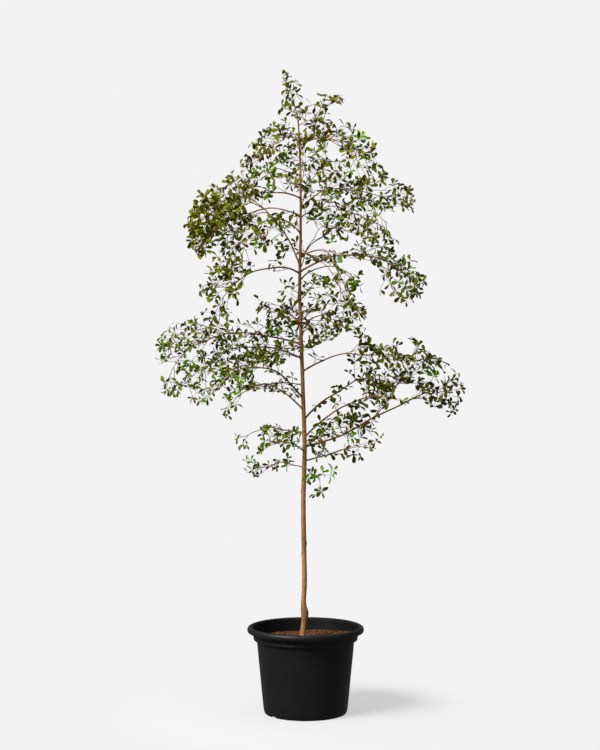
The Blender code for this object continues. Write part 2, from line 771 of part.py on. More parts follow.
def plan_leaves(rng, space, shoot, scale, twigs, blades):
    """List the nodes of leaves that fit on a shoot, the first at its tip."""
    root, tip, course, side = shoot
    foot = tip - course * TIP_SUNK
    taken = (blades, twigs)
    node, sheets = fit_node(rng, space, shoot[2:], foot, TIP_SPINS, scale, taken)
    if not node:
        return [], []
    found = [node]
    for share in PAIR_SHARES:
        foot = root + (tip - root) * share
        taken = (blades + sheets, twigs)
        node, more = fit_node(rng, space, shoot[2:], foot, PAIR_SPINS, scale, taken)
        if node:
            found.append(node)
            sheets = sheets + more
    return found, sheets


def face_height(face):
    """Return a triangle's smallest height."""
    return 2 * face.calc_area() / max(edge.calc_length() for edge in face.edges)


def is_sound(mesh):
    """Tell whether a mesh is one closed body with no sliver of a face."""
    body = bmesh.new()
    body.from_mesh(mesh)
    closed = all(edge.is_manifold for edge in body.edges)
    plump = all(face_height(face) > SLIVER for face in body.faces)
    reached = set()
    waiting = list(body.verts)[:1]
    while waiting:
        vertex = waiting.pop()
        if vertex not in reached:
            reached.add(vertex)
            waiting += [edge.other_vert(vertex) for edge in vertex.link_edges]
    whole = len(reached) == len(body.verts) and len(reached) > 0
    body.free()
    return closed and plump and whole


def join_mass(stem, pieces):
    """Return one closed Boolean union of the stem and its pieces."""
    for solver in ("EXACT", "MANIFOLD"):
        for merge in UNION_MERGES:
            mesh = union_mesh(stem, pieces, solver, merge)
            if is_sound(mesh):
                return mesh
    return None


def union_mesh(stem, pieces, solver, merge):
    """Return the union of the stem and its pieces by this solver."""
    union = stem.modifiers.new("join", "BOOLEAN")
    union.operation = "UNION"
    union.operand_type = "COLLECTION"
    union.collection = pieces
    union.solver = solver
    depsgraph = bpy.context.evaluated_depsgraph_get()
    mesh = bpy.data.meshes.new_from_object(stem.evaluated_get(depsgraph))
    stem.modifiers.remove(union)
    body = bmesh.new()
    body.from_mesh(mesh)
    bmesh.ops.triangulate(body, faces=body.faces)
    if merge > 0.0:
        bmesh.ops.remove_doubles(body, verts=body.verts, dist=merge)
        bmesh.ops.dissolve_degenerate(body, edges=body.edges, dist=merge)
        bmesh.ops.triangulate(body, faces=body.faces)
    body.to_mesh(mesh)
    body.free()
    return mesh


def fill_pieces(pieces, name, shoots, leaves):
    """Put each shoot and leaf of a mass in the collection to be joined."""
    for order, shoot in enumerate(shoots):
        mesh = shoot_mesh("%s_shoot_%d" % (name, order), *shoot)
        pieces.objects.link(bpy.data.objects.new(mesh.name, mesh))
    for order, node in enumerate(leaves):
        mesh = leaf_mesh("%s_leaf_%d" % (name, order), node)
        pieces.objects.link(bpy.data.objects.new(mesh.name, mesh))


def make_mass(plans, limb, parts, trunk_cutter, leaf):
    """One mass of foliage: stem, shoots and leaves in one solid."""
    name = "foliage_" + limb["name"]
    points = limb["stem_knots"]
    radii = np.linspace(1.0, STEM_TAPER, STEM_POINTS) * limb["stem_radius"]
    stem = tube(name, points, radii, STEM_SIDES)
    parts.objects.link(stem)
    if limb["on_trunk"]:
        seat_on_trunk(stem, trunk_cutter)
        apply_modifiers(stem)
    pieces = bpy.data.collections.new(name + "_pieces")
    bpy.context.scene.collection.children.link(pieces)
    joined = None
    for attempt in range(MASS_TRIES):
        if joined is None:
            fill_pieces(pieces, name, *plan_mass(plans, limb, attempt))
            joined = join_mass(stem, pieces)
            for item in list(pieces.objects):
                bpy.data.objects.remove(item, do_unlink=True)
    bpy.data.collections.remove(pieces)
    stem.data = joined
    stem.data.materials.clear()
    stem.data.materials.append(leaf)
    return stem


def main():
    """Build the pot, soil, trunk, boughs and masses of foliage."""
    clear_scene()
    parts = new_collection(OBJECT_NAME)
    cutters = new_collection(CUTTER_NAME)
    make_pot(parts, cutters)
    make_soil(parts)
    make_trunk(parts)
    trunk_cutter = make_trunk_cutter(cutters)
    plans = plan_limbs()
    bark = bough_material()
    leaf = leaf_material()
    for limb in plans:
        if limb["bough_line"] is not None:
            make_bough(limb, parts, trunk_cutter, bark)
    for limb in plans:
        make_mass(plans, limb, parts, trunk_cutter, leaf)


main()
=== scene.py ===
import math
import bpy
import numpy as np
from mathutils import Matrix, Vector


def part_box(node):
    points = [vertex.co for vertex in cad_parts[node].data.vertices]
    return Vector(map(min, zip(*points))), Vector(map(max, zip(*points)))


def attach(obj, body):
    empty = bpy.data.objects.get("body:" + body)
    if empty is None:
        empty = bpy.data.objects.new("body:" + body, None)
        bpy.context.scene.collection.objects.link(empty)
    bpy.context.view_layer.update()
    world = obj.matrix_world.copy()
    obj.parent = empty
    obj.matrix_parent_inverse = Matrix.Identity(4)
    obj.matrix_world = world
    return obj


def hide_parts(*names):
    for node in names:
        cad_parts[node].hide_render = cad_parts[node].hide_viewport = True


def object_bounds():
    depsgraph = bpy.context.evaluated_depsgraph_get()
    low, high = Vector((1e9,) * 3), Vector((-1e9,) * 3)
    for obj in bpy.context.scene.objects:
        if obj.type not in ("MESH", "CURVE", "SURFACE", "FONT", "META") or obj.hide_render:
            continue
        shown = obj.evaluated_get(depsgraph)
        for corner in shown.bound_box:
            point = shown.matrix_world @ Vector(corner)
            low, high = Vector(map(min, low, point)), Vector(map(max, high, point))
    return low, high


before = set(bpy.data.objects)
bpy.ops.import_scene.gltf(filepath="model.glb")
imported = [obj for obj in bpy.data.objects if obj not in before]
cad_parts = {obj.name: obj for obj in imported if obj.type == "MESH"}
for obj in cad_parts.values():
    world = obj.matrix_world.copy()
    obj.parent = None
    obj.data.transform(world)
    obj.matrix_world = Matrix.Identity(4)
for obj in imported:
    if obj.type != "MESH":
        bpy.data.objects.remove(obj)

# The looks of a young potted tree: bark, boughs, fine twigs, small leaves, pot and
# soil. Metres, +Z up, the origin under the middle of the pot, the front towards -Y.

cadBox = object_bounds()
cadLow, cadHigh = np.array(cadBox[0]), np.array(cadBox[1])
upward = np.array([0.0, 0.0, 1.0])
fullTurn = 2 * math.pi
leafTurn = math.radians(137.508)
print("frame loaded with", len(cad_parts), "nodes")


camera = {
    "distance": 5.909,
    "height": 1.300,
    "focalPixels": 1594.0,
    "imageWidth": 600.0,
    "imageHeight": 750.0,
    "potAxisPixel": 305.6,
    "horizonPixel": 361.5,
    "sensor": 36.0,
}


def makeCamera(c):
    # Level and at eye height; the lens is the focal length in pixels over the
    # image's longer side, times the sensor.
    data = bpy.data.cameras.new("photoCamera")
    data.sensor_width = c["sensor"]
    data.lens = c["focalPixels"] / c["imageHeight"] * c["sensor"]
    data.shift_x = (c["imageWidth"] / 2 - c["potAxisPixel"]) / c["imageHeight"]
    data.shift_y = (c["horizonPixel"] - c["imageHeight"] / 2) / c["imageHeight"]
    item = bpy.data.objects.new("photoCamera", data)
    item.location = (0.0, -c["distance"], c["height"])
    item.rotation_euler = (math.radians(90.0), 0.0, 0.0)
    bpy.context.scene.collection.objects.link(item)
    bpy.context.scene.camera = item


makeCamera(camera)


# Mesh helpers.

def newPiece(name, points, faces, materials, slot=None, shades=None, uv=None, sharp=None):
    # points is (n, 3) and faces a list of arrays of quads or triangles; shades gives
    # each face its material and uv each corner its place, both in face order.
    mesh = bpy.data.meshes.new(name)
    corners = np.concatenate([f.reshape(-1) for f in faces]).astype(np.int32)
    sizes = np.concatenate([np.full(len(f), f.shape[1]) for f in faces])
    starts = np.concatenate([[0], np.cumsum(sizes)[:-1]]).astype(np.int32)
    mesh.vertices.add(len(points))
    mesh.vertices.foreach_set("co", np.asarray(points, np.float32).reshape(-1))
    mesh.loops.add(len(corners))
    mesh.loops.foreach_set("vertex_index", corners)
    mesh.polygons.add(len(starts))
    mesh.polygons.foreach_set("loop_start", starts)
    for material in materials:
        mesh.materials.append(material)
    if shades is not None:
        mesh.polygons.foreach_set("material_index", shades.astype(np.int32))
    if uv is not None:
        layer = mesh.uv_layers.new(name="surface")
        layer.data.foreach_set("uv", np.asarray(uv, np.float32).reshape(-1))
    mesh.update(calc_edges=True)
    mesh.shade_smooth()
    if sharp is not None:
        mesh.set_sharp_from_angle(angle=math.radians(sharp))
    item = bpy.data.objects.new(name, mesh)
    bpy.context.scene.collection.objects.link(item)
    if slot is not None:
        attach(item, "root")
    print("made", name, "with", int((sizes - 2).sum()), "triangles")
    return item


def unit(vectors):
    # Each vector over its own length.
    return vectors / np.maximum(np.linalg.norm(vectors, axis=-1, keepdims=True), 1e-9)


latticeSize = 64


def lattice(x, y, seed, wrap=latticeSize):
    # Value noise from -1 to 1: random values on a lattice that repeats after wrap
    # steps of x, read between its points with the smooth step 3t^2 - 2t^3.
    values = np.random.default_rng(seed).uniform(-1.0, 1.0, (latticeSize, latticeSize))
    x0, y0 = np.floor(x).astype(int), np.floor(y).astype(int)
    fx, fy = x - x0, y - y0
    fx, fy = fx * fx * (3 - 2 * fx), fy * fy * (3 - 2 * fy)
    near, far = x0 % wrap, (x0 + 1) % wrap
    low, high = y0 % latticeSize, (y0 + 1) % latticeSize
    below = values[near, low] * (1 - fx) + values[far, low] * fx
    above = values[near, high] * (1 - fx) + values[far, high] * fx
    return below * (1 - fy) + above * fy


def tubeFaces(count, rings, sides):
    # Quads from each ring to the next and a fan at each pole, for tubes whose points
    # are their rings one after another, then the two poles.
    i = np.arange(rings - 1)[:, None] * sides
    j = np.arange(sides)[None, :]
    k = (j + 1) % sides
    quads = np.stack([i + j, i + sides + j, i + sides + k, i + k], -1).reshape(-1, 4)
    j, k = j[0], k[0]
    last = (rings - 1) * sides
    foot = np.stack([np.full(sides, rings * sides), j, k], -1)
    head = np.stack([np.full(sides, rings * sides + 1), last + k, last + j], -1)
    shift = np.arange(count)[:, None, None] * (rings * sides + 2)
    quads = (quads[None] + shift).reshape(-1, 4)
    fans = (np.concatenate([foot, head])[None] + shift).reshape(-1, 3)
    return [quads, fans]


def tubes(paths, radii, sides):
    # Rings about each path: centre + radius * (cos a * side + sin a * lift), where
    # side is square to the path and to one fixed guide, which is up, or north for a
    # steep path. Poles stand out by a share of the radius. paths is (tubes, rings, 3),
    # radii is (tubes, rings) or (tubes, rings, sides).
    steep, footOut, headOut = 0.8, 0.4, 0.6
    count, rings = paths.shape[:2]
    course = unit(np.gradient(paths, axis=1))
    mean = unit(paths[:, -1] - paths[:, 0])
    guide = np.where(np.abs(mean[:, 2:3]) < steep, upward, np.array([0.0, 1.0, 0.0]))
    side = unit(np.cross(course, guide[:, None, :]))
    lift = np.cross(side, course)
    turn = np.linspace(0.0, fullTurn, sides, endpoint=False)
    if radii.ndim == 2:
        radii = np.repeat(radii[:, :, None], sides, axis=2)
    ring = side[:, :, None, :] * np.cos(turn)[None, None, :, None]
    ring = ring + lift[:, :, None, :] * np.sin(turn)[None, None, :, None]
    skin = paths[:, :, None, :] + ring * radii[..., None]
    foot = paths[:, 0] - course[:, 0] * radii[:, 0].mean(axis=1)[:, None] * footOut
    head = paths[:, -1] + course[:, -1] * radii[:, -1].mean(axis=1)[:, None] * headOut
    points = np.concatenate([skin.reshape(count, -1, 3), foot[:, None], head[:, None]], axis=1)
    return points.reshape(-1, 3), tubeFaces(count, rings, sides)


def joined(parts):
    # Several (points, [quads, triangles]) as one.
    starts = np.cumsum([0] + [len(points) for points, faces in parts])
    points = np.concatenate([points for points, faces in parts])
    quads = np.concatenate([f[0] + s for (p, f), s in zip(parts, starts)])
    fans = np.concatenate([f[1] + s for (p, f), s in zip(parts, starts)])
    return points, [quads, fans]


# Material helpers.

white = (255, 255, 255)


def linear(colour):
    # A screen colour of 0 to 255 steps as linear light, opaque.
    return (*(((c / 255 + 0.055) / 1.055) ** 2.4 for c in colour), 1.0)


class Finish:
    # A material with a Principled shader, and short ways to add nodes to it. What goes
    # into a node is a number, a colour or another node's output.
    def __init__(self, name, colour, roughness, specular=0.5):
        self.material = bpy.data.materials.new(name)
        self.material.use_nodes = True
        self.material.diffuse_color = linear(colour)
        self.tree = self.material.node_tree
        self.shader = self.tree.nodes["Principled BSDF"]
        self.give(self.shader, {"Base Color": linear(colour), "Roughness": roughness,
                                "Specular IOR Level": specular})

    def give(self, node, inputs):
        for key, value in inputs.items():
            if isinstance(value, bpy.types.NodeSocket):
                self.tree.links.new(value, node.inputs[key])
            else:
                node.inputs[key].default_value = value

    def node(self, kind, inputs, **settings):
        made = self.tree.nodes.new("ShaderNode" + kind)
        for key, value in settings.items():
            setattr(made, key, value)
        self.give(made, inputs)
        return made.outputs

    def place(self):
        return self.node("TexCoord", {})["Object"]

    def noise(self, scale, detail=4.0, rough=0.55, stretch=(1.0, 1.0, 1.0)):
        spot = self.node("Mapping", {"Vector": self.place(), "Scale": stretch})["Vector"]
        return self.node("TexNoise", {"Vector": spot, "Scale": scale, "Detail": detail,
                                      "Roughness": rough})["Fac"]

    def ramp(self, factor, stops):
        stops = list(stops)
        made = self.tree.nodes.new("ShaderNodeValToRGB")
        steps = made.color_ramp.elements
        while len(steps) < len(stops):
            steps.new(0.5)
        for step, (spot, colour) in zip(steps, stops):
            step.position = spot
            step.color = linear(colour)
        self.give(made, {"Fac": factor})
        return made.outputs["Color"]

    def span(self, factor, low, high, start=0.0, end=1.0, **settings):
        return self.node("MapRange", {"Value": factor, "From Min": start, "From Max": end,
                                      "To Min": low, "To Max": high}, **settings)["Result"]

    def maths(self, operation, *values):
        return self.node("Math", dict(enumerate(values)), operation=operation)["Value"]

    def mix(self, factor, first, second, kind="MIX"):
        inputs = {0: factor, 6: first, 7: second}
        return self.node("Mix", inputs, data_type="RGBA", blend_type=kind)[2]

    def dressed(self, colour, gloss, height, distance, strength):
        # Colour, roughness and relief for the shader, and the material they make.
        bump = {"Height": height, "Distance": distance, "Strength": strength}
        self.give(self.shader, {"Base Color": colour, "Roughness": gloss,
                                "Normal": self.node("Bump", bump)["Normal"]})
        return self.material


def layeredFinish(name, tones, s):
    # Three tones that follow the first noise, multiplied by paler and darker stops
    # that follow another. The gloss and the relief each follow one of the noises.
    skin = Finish(name, tones[1], s["rough"], s.get("specular", 0.5))
    noises = [skin.noise(*row) for row in s["noises"]]
    colour = skin.ramp(noises[0], zip(s["stops"], tones))
    if "over" in s:
        which, weight, stops = s["over"]
        colour = skin.mix(weight, colour, skin.ramp(noises[which], stops), "MULTIPLY")
    which, dull, duller = s["gloss"]
    height, distance, strength = s["bump"]
    gloss = skin.span(noises[which], dull, duller)
    return skin.dressed(colour, gloss, noises[height], distance, strength)


# Trunk and limb lines, by the same rule as the solids.

trunkForm = {
    "lean": (
        (0.270, -0.0126), (0.310, -0.0082), (0.360, -0.0033), (0.395, -0.0072),
        (0.470, -0.0044), (0.600, -0.0061), (0.790, -0.0082), (0.970, -0.0038),
        (1.155, -0.0085), (1.360, -0.0156), (1.560, -0.0220), (1.790, -0.0182),
        (2.080, -0.0219), (2.175, -0.0267), (2.231, -0.0334), (2.300, -0.0555),
    ),
    "radius": (
        (0.270, 0.0135), (0.290, 0.0112), (0.330, 0.0106), (0.368, 0.0130),
        (0.400, 0.0100), (0.470, 0.0094), (0.750, 0.0090), (1.155, 0.0075),
        (1.360, 0.0067), (1.560, 0.0060), (1.790, 0.0048), (2.080, 0.0036),
        (2.205, 0.0024),
    ),
    "foot": 0.262,
    "tip": 2.205,
    "leaderLean": -0.034,
    "leaderTop": 2.325,
    "leaderBend": 0.06,
    "leaderNod": -0.004,
    "leaderSpread": 0.037,
}

limbRule = {
    "handle": 0.40,
    "turn": 16.0,
    "sway": 0.006,
    "swayTurns": 2.2,
    "swayLift": 0.6,
    "golden": 0.618,
    "samples": 90,
    "leaderSamples": 40,
}

# name, root height, sideways reach, depth, tip height, rise, fall, radius, bare share,
# spread, thickness and leafiness. Heights and reach are as read from the front.
limbFields = ("name", "root", "across", "depth", "tip", "rise", "fall", "radius", "bare",
              "spread", "thick", "leafy")
limbRows = (
    ("top_right", 2.175, 0.115, -0.06, 2.285, 20, -50, 0.0016, 0.0, 0.06, 0.8, 2.0),
    ("upper_right_a", 2.1, 0.225, -0.11, 1.985, 35, 62, 0.0022, 0.26, 0.1, 0.8, 1.0),
    ("upper_right_b", 2.125, 0.175, 0.19, 2.11, 10, 0, 0.0018, 0.0, 0.085, 0.8, 1.8),
    ("upper_left_a", 2.13, -0.18, 0.11, 2.045, 8, 30, 0.0021, 0.24, 0.095, 0.9, 2.4),
    ("upper_left_b", 1.99, -0.215, -0.255, 1.96, 18, 25, 0.0021, 0.0, 0.105, 0.8, 0.8),
    ("left_high_a", 1.905, -0.385, -0.18, 1.825, 18, 38, 0.0028, 0.5, 0.1, 0.9, 2.8),
    ("left_high_b", 1.84, -0.4, 0.13, 1.72, 22, 50, 0.0029, 0.45, 0.125, 1.0, 2.2),
    ("left_steep", 1.655, -0.3, 0.285, 1.945, 68, -5, 0.0031, 0.46, 0.095, 0.8, 0.8),
    ("left_inner", 1.775, -0.245, -0.37, 1.64, 40, 65, 0.0026, 0.0, 0.11, 1.0, 1.2),
    ("right_high_a", 1.867, 0.36, 0.24, 1.88, 40, 20, 0.0028, 0.26, 0.12, 0.8, 1.5),
    ("right_high_b", 1.835, 0.26, -0.345, 1.79, 15, 40, 0.0026, 0.24, 0.11, 0.9, 1.5),
    ("front_high", 1.925, 0.09, -0.345, 2.05, 35, 0, 0.0022, 0.0, 0.105, 0.9, 0.7),
    ("back_high", 1.96, -0.06, 0.355, 2.04, 30, 5, 0.0022, 0.0, 0.105, 0.9, 0.7),
    ("left_mid", 1.626, -0.335, -0.15, 1.48, 25, 70, 0.0031, 0.55, 0.12, 0.9, 1.4),
    ("right_mid_a", 1.632, 0.405, -0.13, 1.59, 30, 50, 0.0036, 0.36, 0.1, 0.8, 1.9),
    ("right_mid_b", 1.595, 0.3, 0.3, 1.48, 40, 60, 0.0031, 0.26, 0.11, 1.0, 0.6),
    ("back_mid", 1.68, 0.11, 0.425, 1.8, 35, 0, 0.0028, 0.3, 0.115, 0.9, 1.0),
    ("front_mid", 1.69, 0.13, -0.415, 1.53, 18, 60, 0.0028, 0.28, 0.115, 0.9, 0.7),
    ("back_low", 1.425, 0.14, 0.435, 1.43, 30, 15, 0.0026, 0.0, 0.115, 0.8, 0.8),
    ("left_back", 1.44, -0.1, 0.38, 1.47, 30, 5, 0.0026, 0.0, 0.115, 0.8, 0.7),
    ("left_low_a", 1.363, -0.51, -0.11, 1.23, 20, 70, 0.0036, 0.24, 0.115, 0.8, 1.6),
    ("left_low_b", 1.311, -0.44, 0.31, 1.22, 25, 38, 0.0033, 0.38, 0.11, 0.8, 1.2),
    ("left_low_c", 1.16, -0.32, -0.425, 1.2, 50, 30, 0.0036, 0.28, 0.11, 0.7, 0.7),
    ("left_low_d", 1.12, -0.215, 0.46, 1.19, 35, 12, 0.0033, 0.3, 0.11, 0.7, 1.0),
    ("left_low_e", 1.215, -0.27, -0.06, 1.15, 5, 45, 0.0026, 0.0, 0.08, 0.8, 0.6),
    ("right_low_a", 1.262, 0.325, -0.275, 1.305, 32, 10, 0.0034, 0.26, 0.095, 0.8, 1.0),
    ("right_low_b", 1.085, 0.35, 0.4, 1.19, 42, 25, 0.0036, 0.34, 0.105, 0.7, 0.8),
    ("right_low_c", 1.02, 0.31, -0.38, 1.165, 40, 5, 0.0036, 0.34, 0.105, 0.7, 0.8),
    ("right_low_d", 0.985, 0.54, 0.08, 1.205, 12, -8, 0.0038, 0.66, 0.125, 0.8, 1.3),
    ("right_bottom", 0.932, 0.205, -0.265, 0.985, 10, 0, 0.003, 0.28, 0.09, 0.7, 0.6),
    ("right_drop", 0.905, 0.06, -0.11, 0.825, 0, 70, 0.0016, 0.0, 0.05, 1.0, 0.8),
    ("left_bottom_a", 1.035, -0.225, 0.265, 1.01, 8, 28, 0.003, 0.26, 0.085, 0.7, 0.3),
    ("left_bottom_b", 0.968, -0.115, -0.32, 1.000, 20, 5, 0.0026, 0.0, 0.085, 0.7, 1.3),
    ("left_bottom_c", 0.906, -0.195, 0.11, 0.885, 20, 25, 0.0024, 0.0, 0.06, 0.7, 0.8),
)

# Finer limbs inside the same masses. Some start on the trunk at a height, others on
# another limb at a share of its length.
innerRows = (
    ("right_up_twig", 1.87, 0.085, -0.05, 2.06, 62, 10, 0.0017, 0.3, 0.075, 0.9, 1.0),
    ("right_mid_up", 1.64, 0.115, 0.07, 1.8, 62, 15, 0.0019, 0.3, 0.085, 0.9, 0.7),
    ("right_mid_low", 1.704, 0.175, -0.11, 1.5, -5, 60, 0.0019, 0.2, 0.075, 0.9, 1.0),
    ("right_inner", 1.4, 0.15, -0.06, 1.42, 45, 35, 0.0019, 0.1, 0.08, 0.9, 0.6),
    ("right_inner_b", 1.48, 0.17, 0.11, 1.5, 25, 20, 0.0019, 0.15, 0.08, 0.9, 0.7),
    ("left_up_thin", 1.43, -0.16, -0.08, 1.52, 45, 0, 0.0019, 0.15, 0.08, 0.9, 0.6),
    ("left_inner_b", 1.311, -0.2, -0.09, 1.29, 20, 25, 0.0018, 0.15, 0.08, 0.8, 2.8),
    ("left_inner_c", 1.385, -0.11, 0.11, 1.41, 25, 10, 0.0017, 0.0, 0.075, 0.9, 1.5),
    ("front_inner", 1.44, 0.03, -0.19, 1.4, 25, 25, 0.0018, 0.0, 0.085, 0.9, 1.3),
    ("right_inner_c", 1.345, 0.11, 0.13, 1.37, 25, 10, 0.0017, 0.0, 0.075, 0.9, 1.3),
    ("front_top", 2.08, -0.04, -0.15, 2.16, 35, 0, 0.0016, 0.0, 0.07, 0.9, 0.4),
    ("back_top", 2.06, 0.06, 0.16, 2.15, 35, 0, 0.0016, 0.0, 0.07, 0.9, 1.0),
    ("top_left", 2.195, -0.11, -0.03, 2.25, 55, 0, 0.0012, 0.0, 0.05, 0.9, 2.4),
    ("top_mid", 2.185, 0.01, -0.045, 2.265, 75, -40, 0.0012, 0.0, 0.045, 0.9, 0.7),
    ("right_mid_d", 1.52, 0.08, -0.07, 1.6, 45, 0, 0.0016, 0.0, 0.07, 0.9, 1.2),
    ("right_low_in", 1.000, 0.2, 0.1, 1.05, 20, 15, 0.002, 0.25, 0.08, 0.7, 1.2),
)
forkRows = (
    ("left_fork", ("left_steep", 0.45), -0.285, 0.12, 1.62, 10, 70, 0.0019, 0.15, 0.07, 0.9, 1.0),
    ("left_high_c", ("left_high_b", 0.35), -0.33, -0.03, 1.84, 35, 20, 0.0019, 0.3, 0.09, 0.9, 1.2),
    ("right_up_c", ("upper_right_a", 0.4), 0.25, 0.01, 2.06, 25, 10, 0.0016, 0.1, 0.075, 0.9, 1.4),
    ("left_low_f", ("left_low_a", 0.5), -0.5, 0.06, 1.385, 30, 20, 0.0022, 0.1, 0.09, 0.8, 2.0),
    ("right_low_e", ("right_low_d", 0.45), 0.49, -0.08, 1.32, 35, 0, 0.0022, 0.15, 0.115, 0.8, 2.0),
    ("right_high_c", ("right_high_a", 0.4), 0.32, 0.05, 1.8, 10, 30, 0.0019, 0.1, 0.085, 0.9, 2.0),
    ("right_mid_c", ("right_mid_a", 0.45), 0.3, -0.02, 1.64, 15, 30, 0.0019, 0.1, 0.08, 0.8, 0.6),
    ("right_low_f", ("right_low_d", 0.72), 0.54, -0.05, 1.12, 5, 60, 0.0018, 0.1, 0.07, 0.9, 0.8),
    ("left_inner_d", 1.93, -0.11, 0.06, 1.985, 40, 10, 0.0015, 0.0, 0.06, 0.9, 0.8),
    ("left_inner_e", 1.52, -0.07, -0.06, 1.58, 45, 0, 0.0015, 0.0, 0.055, 0.9, 0.7),
    ("left_low_g", ("left_low_c", 0.45), -0.3, -0.15, 1.265, 10, 20, 0.0018, 0.15, 0.09, 0.8, 2.6),
    ("left_fork_b", ("left_steep", 0.25), -0.15, -0.05, 1.735, 20, 20, 0.0015, 0.1, 0.065, 0.9,
     1.6),
    ("right_high_in", 1.895, 0.1, 0.08, 1.945, 35, 0, 0.0015, 0.0, 0.065, 0.9, 1.5),
    ("front_low", 0.985, 0.05, -0.13, 1.015, 25, 0, 0.0015, 0.0, 0.06, 0.9, 2.2),
    ("left_high_d", ("left_high_b", 0.55), -0.29, 0.04, 1.64, -10, 60, 0.0016, 0.1, 0.075, 0.9,
     0.7),
    ("left_low_h", 1.35, -0.12, -0.12, 1.34, 15, 20, 0.0017, 0.0, 0.07, 0.9, 1.8),
    ("left_mid_b", ("left_mid", 0.75), -0.372, -0.1, 1.585, 10, 0, 0.0014, 0.0, 0.06, 0.9, 1.6),
    ("right_mid_e", ("right_mid_a", 0.7), 0.33, -0.1, 1.555, -20, 50, 0.0014, 0.0, 0.07, 0.9, 1.6),
    ("top_left_b", 2.115, -0.08, -0.05, 2.15, 30, 0, 0.0012, 0.0, 0.05, 0.9, 1.6),
)


def smoothRead(table, values):
    # A cubic through the table's (place, size) pairs: each stretch is the Hermite
    # blend of its two sizes and the slopes there.
    places = np.array([row[0] for row in table])
    sizes = np.array([row[1] for row in table])
    slopes = np.gradient(sizes, places)
    i = np.clip(np.searchsorted(places, values) - 1, 0, len(places) - 2)
    step = places[i + 1] - places[i]
    t = np.clip((values - places[i]) / step, 0.0, 1.0)
    low = (2 * t ** 3 - 3 * t ** 2 + 1) * sizes[i] + (t ** 3 - 2 * t ** 2 + t) * step * slopes[i]
    high = (3 * t ** 2 - 2 * t ** 3) * sizes[i + 1] + (t ** 3 - t ** 2) * step * slopes[i + 1]
    return low + high


def trunkPoint(height):
    # The trunk's middle at this height.
    return np.array([float(smoothRead(trunkForm["lean"], height)), 0.0, height])


def fromFront(points):
    # A point read from the front moves out from the camera in step with its depth.
    near = 1.0 + points[..., 1:2] / camera["distance"]
    middle = np.array([0.0, 0.0, camera["height"]])
    moved = middle + (points - middle) * near
    moved[..., 1] = points[..., 1]
    return moved


def toFront(points):
    # The reverse: where a point stands as read from the front.
    near = 1.0 + points[..., 1] / camera["distance"]
    return points[..., 0] / near, camera["height"] + (points[..., 2] - camera["height"]) / near


def limbLine(limb, order, root):
    # A cubic arch from the root to the tip, whose ends leave at the given slopes with
    # a turn to either side, plus a sway of sin(turns * t) * sin(pi * t).
    tip = np.array([limb["across"], limb["depth"], limb["tip"]])
    flat = tip[:2] - root[:2]
    heading = math.atan2(flat[1], flat[0])
    turn = math.radians(limbRule["turn"]) * (1 if order % 2 else -1)
    handle = limbRule["handle"] * math.hypot(float(np.hypot(*flat)), tip[2] - root[2])
    ends = []
    for slope, bend in ((limb["rise"], turn), (-limb["fall"], -turn)):
        slope = math.radians(slope)
        way = np.array([math.cos(slope) * math.cos(heading + bend),
                        math.cos(slope) * math.sin(heading + bend), math.sin(slope)])
        ends.append(way * handle)
    t = np.linspace(0.0, 1.0, limbRule["samples"])[:, None]
    curve = (1 - t) ** 3 * root + 3 * (1 - t) ** 2 * t * (root + ends[0])
    curve = curve + 3 * (1 - t) * t ** 2 * (tip - ends[1]) + t ** 3 * tip
    wave = np.sin(fullTurn * (limbRule["swayTurns"] * t + limbRule["golden"] * order))
    side = np.array([-math.sin(heading), math.cos(heading), limbRule["swayLift"]])
    return fromFront(curve + limbRule["sway"] * wave * np.sin(math.pi * t) * side)


def lineLength(line):
    # The sum of the line's steps.
    return float(np.linalg.norm(np.diff(line, axis=0), axis=1).sum())


def readLine(line, marks):
    # Points at these lengths along a line.
    along = np.concatenate([[0.0], np.cumsum(np.linalg.norm(np.diff(line, axis=0), axis=1))])
    return np.stack([np.interp(marks, along, line[:, i]) for i in range(3)], axis=-1)


def courseAt(line, marks, look):
    # The line's direction at these lengths, from a little before to a little after.
    return unit(readLine(line, marks + look) - readLine(line, marks - look))


def leaderLine(f):
    # The trunk's top: a quadratic arch from its end to the leader's tip.
    foot, middle = trunkPoint(f["tip"]), trunkPoint(f["tip"] + f["leaderBend"])
    tip = np.array([foot[0] + f["leaderLean"], f["leaderNod"], f["leaderTop"]])
    t = np.linspace(0.0, 1.0, limbRule["leaderSamples"])[:, None]
    return (1 - t) ** 2 * foot + 2 * (1 - t) * t * middle + t ** 2 * tip


def makeLimbs():
    # Every row as a dictionary, with its line from the trunk or from its parent.
    limbs = []
    for order, row in enumerate(limbRows + innerRows + forkRows):
        limb = dict(zip(limbFields, row), order=order)
        limb["onTrunk"] = not isinstance(limb["root"], tuple)
        if limb["onTrunk"]:
            root = trunkPoint(limb["root"])
        else:
            parent = next(one["line"] for one in limbs if one["name"] == limb["root"][0])
            spot = readLine(parent, np.array([limb["root"][1] * lineLength(parent)]))[0]
            x, z = toFront(spot)
            root = np.array([float(x), spot[1], float(z)])
        limb["line"] = limbLine(limb, order, root)
        limbs.append(limb)
    return limbs


limbs = makeLimbs()
leader = {"name": "leader", "line": leaderLine(trunkForm), "order": len(limbs), "radius": 0.0022,
          "bare": 0.0, "spread": trunkForm["leaderSpread"], "thick": 1.0, "leafy": 1.8}
print("limb lines worked out:", len(limbs))


# The trunk.

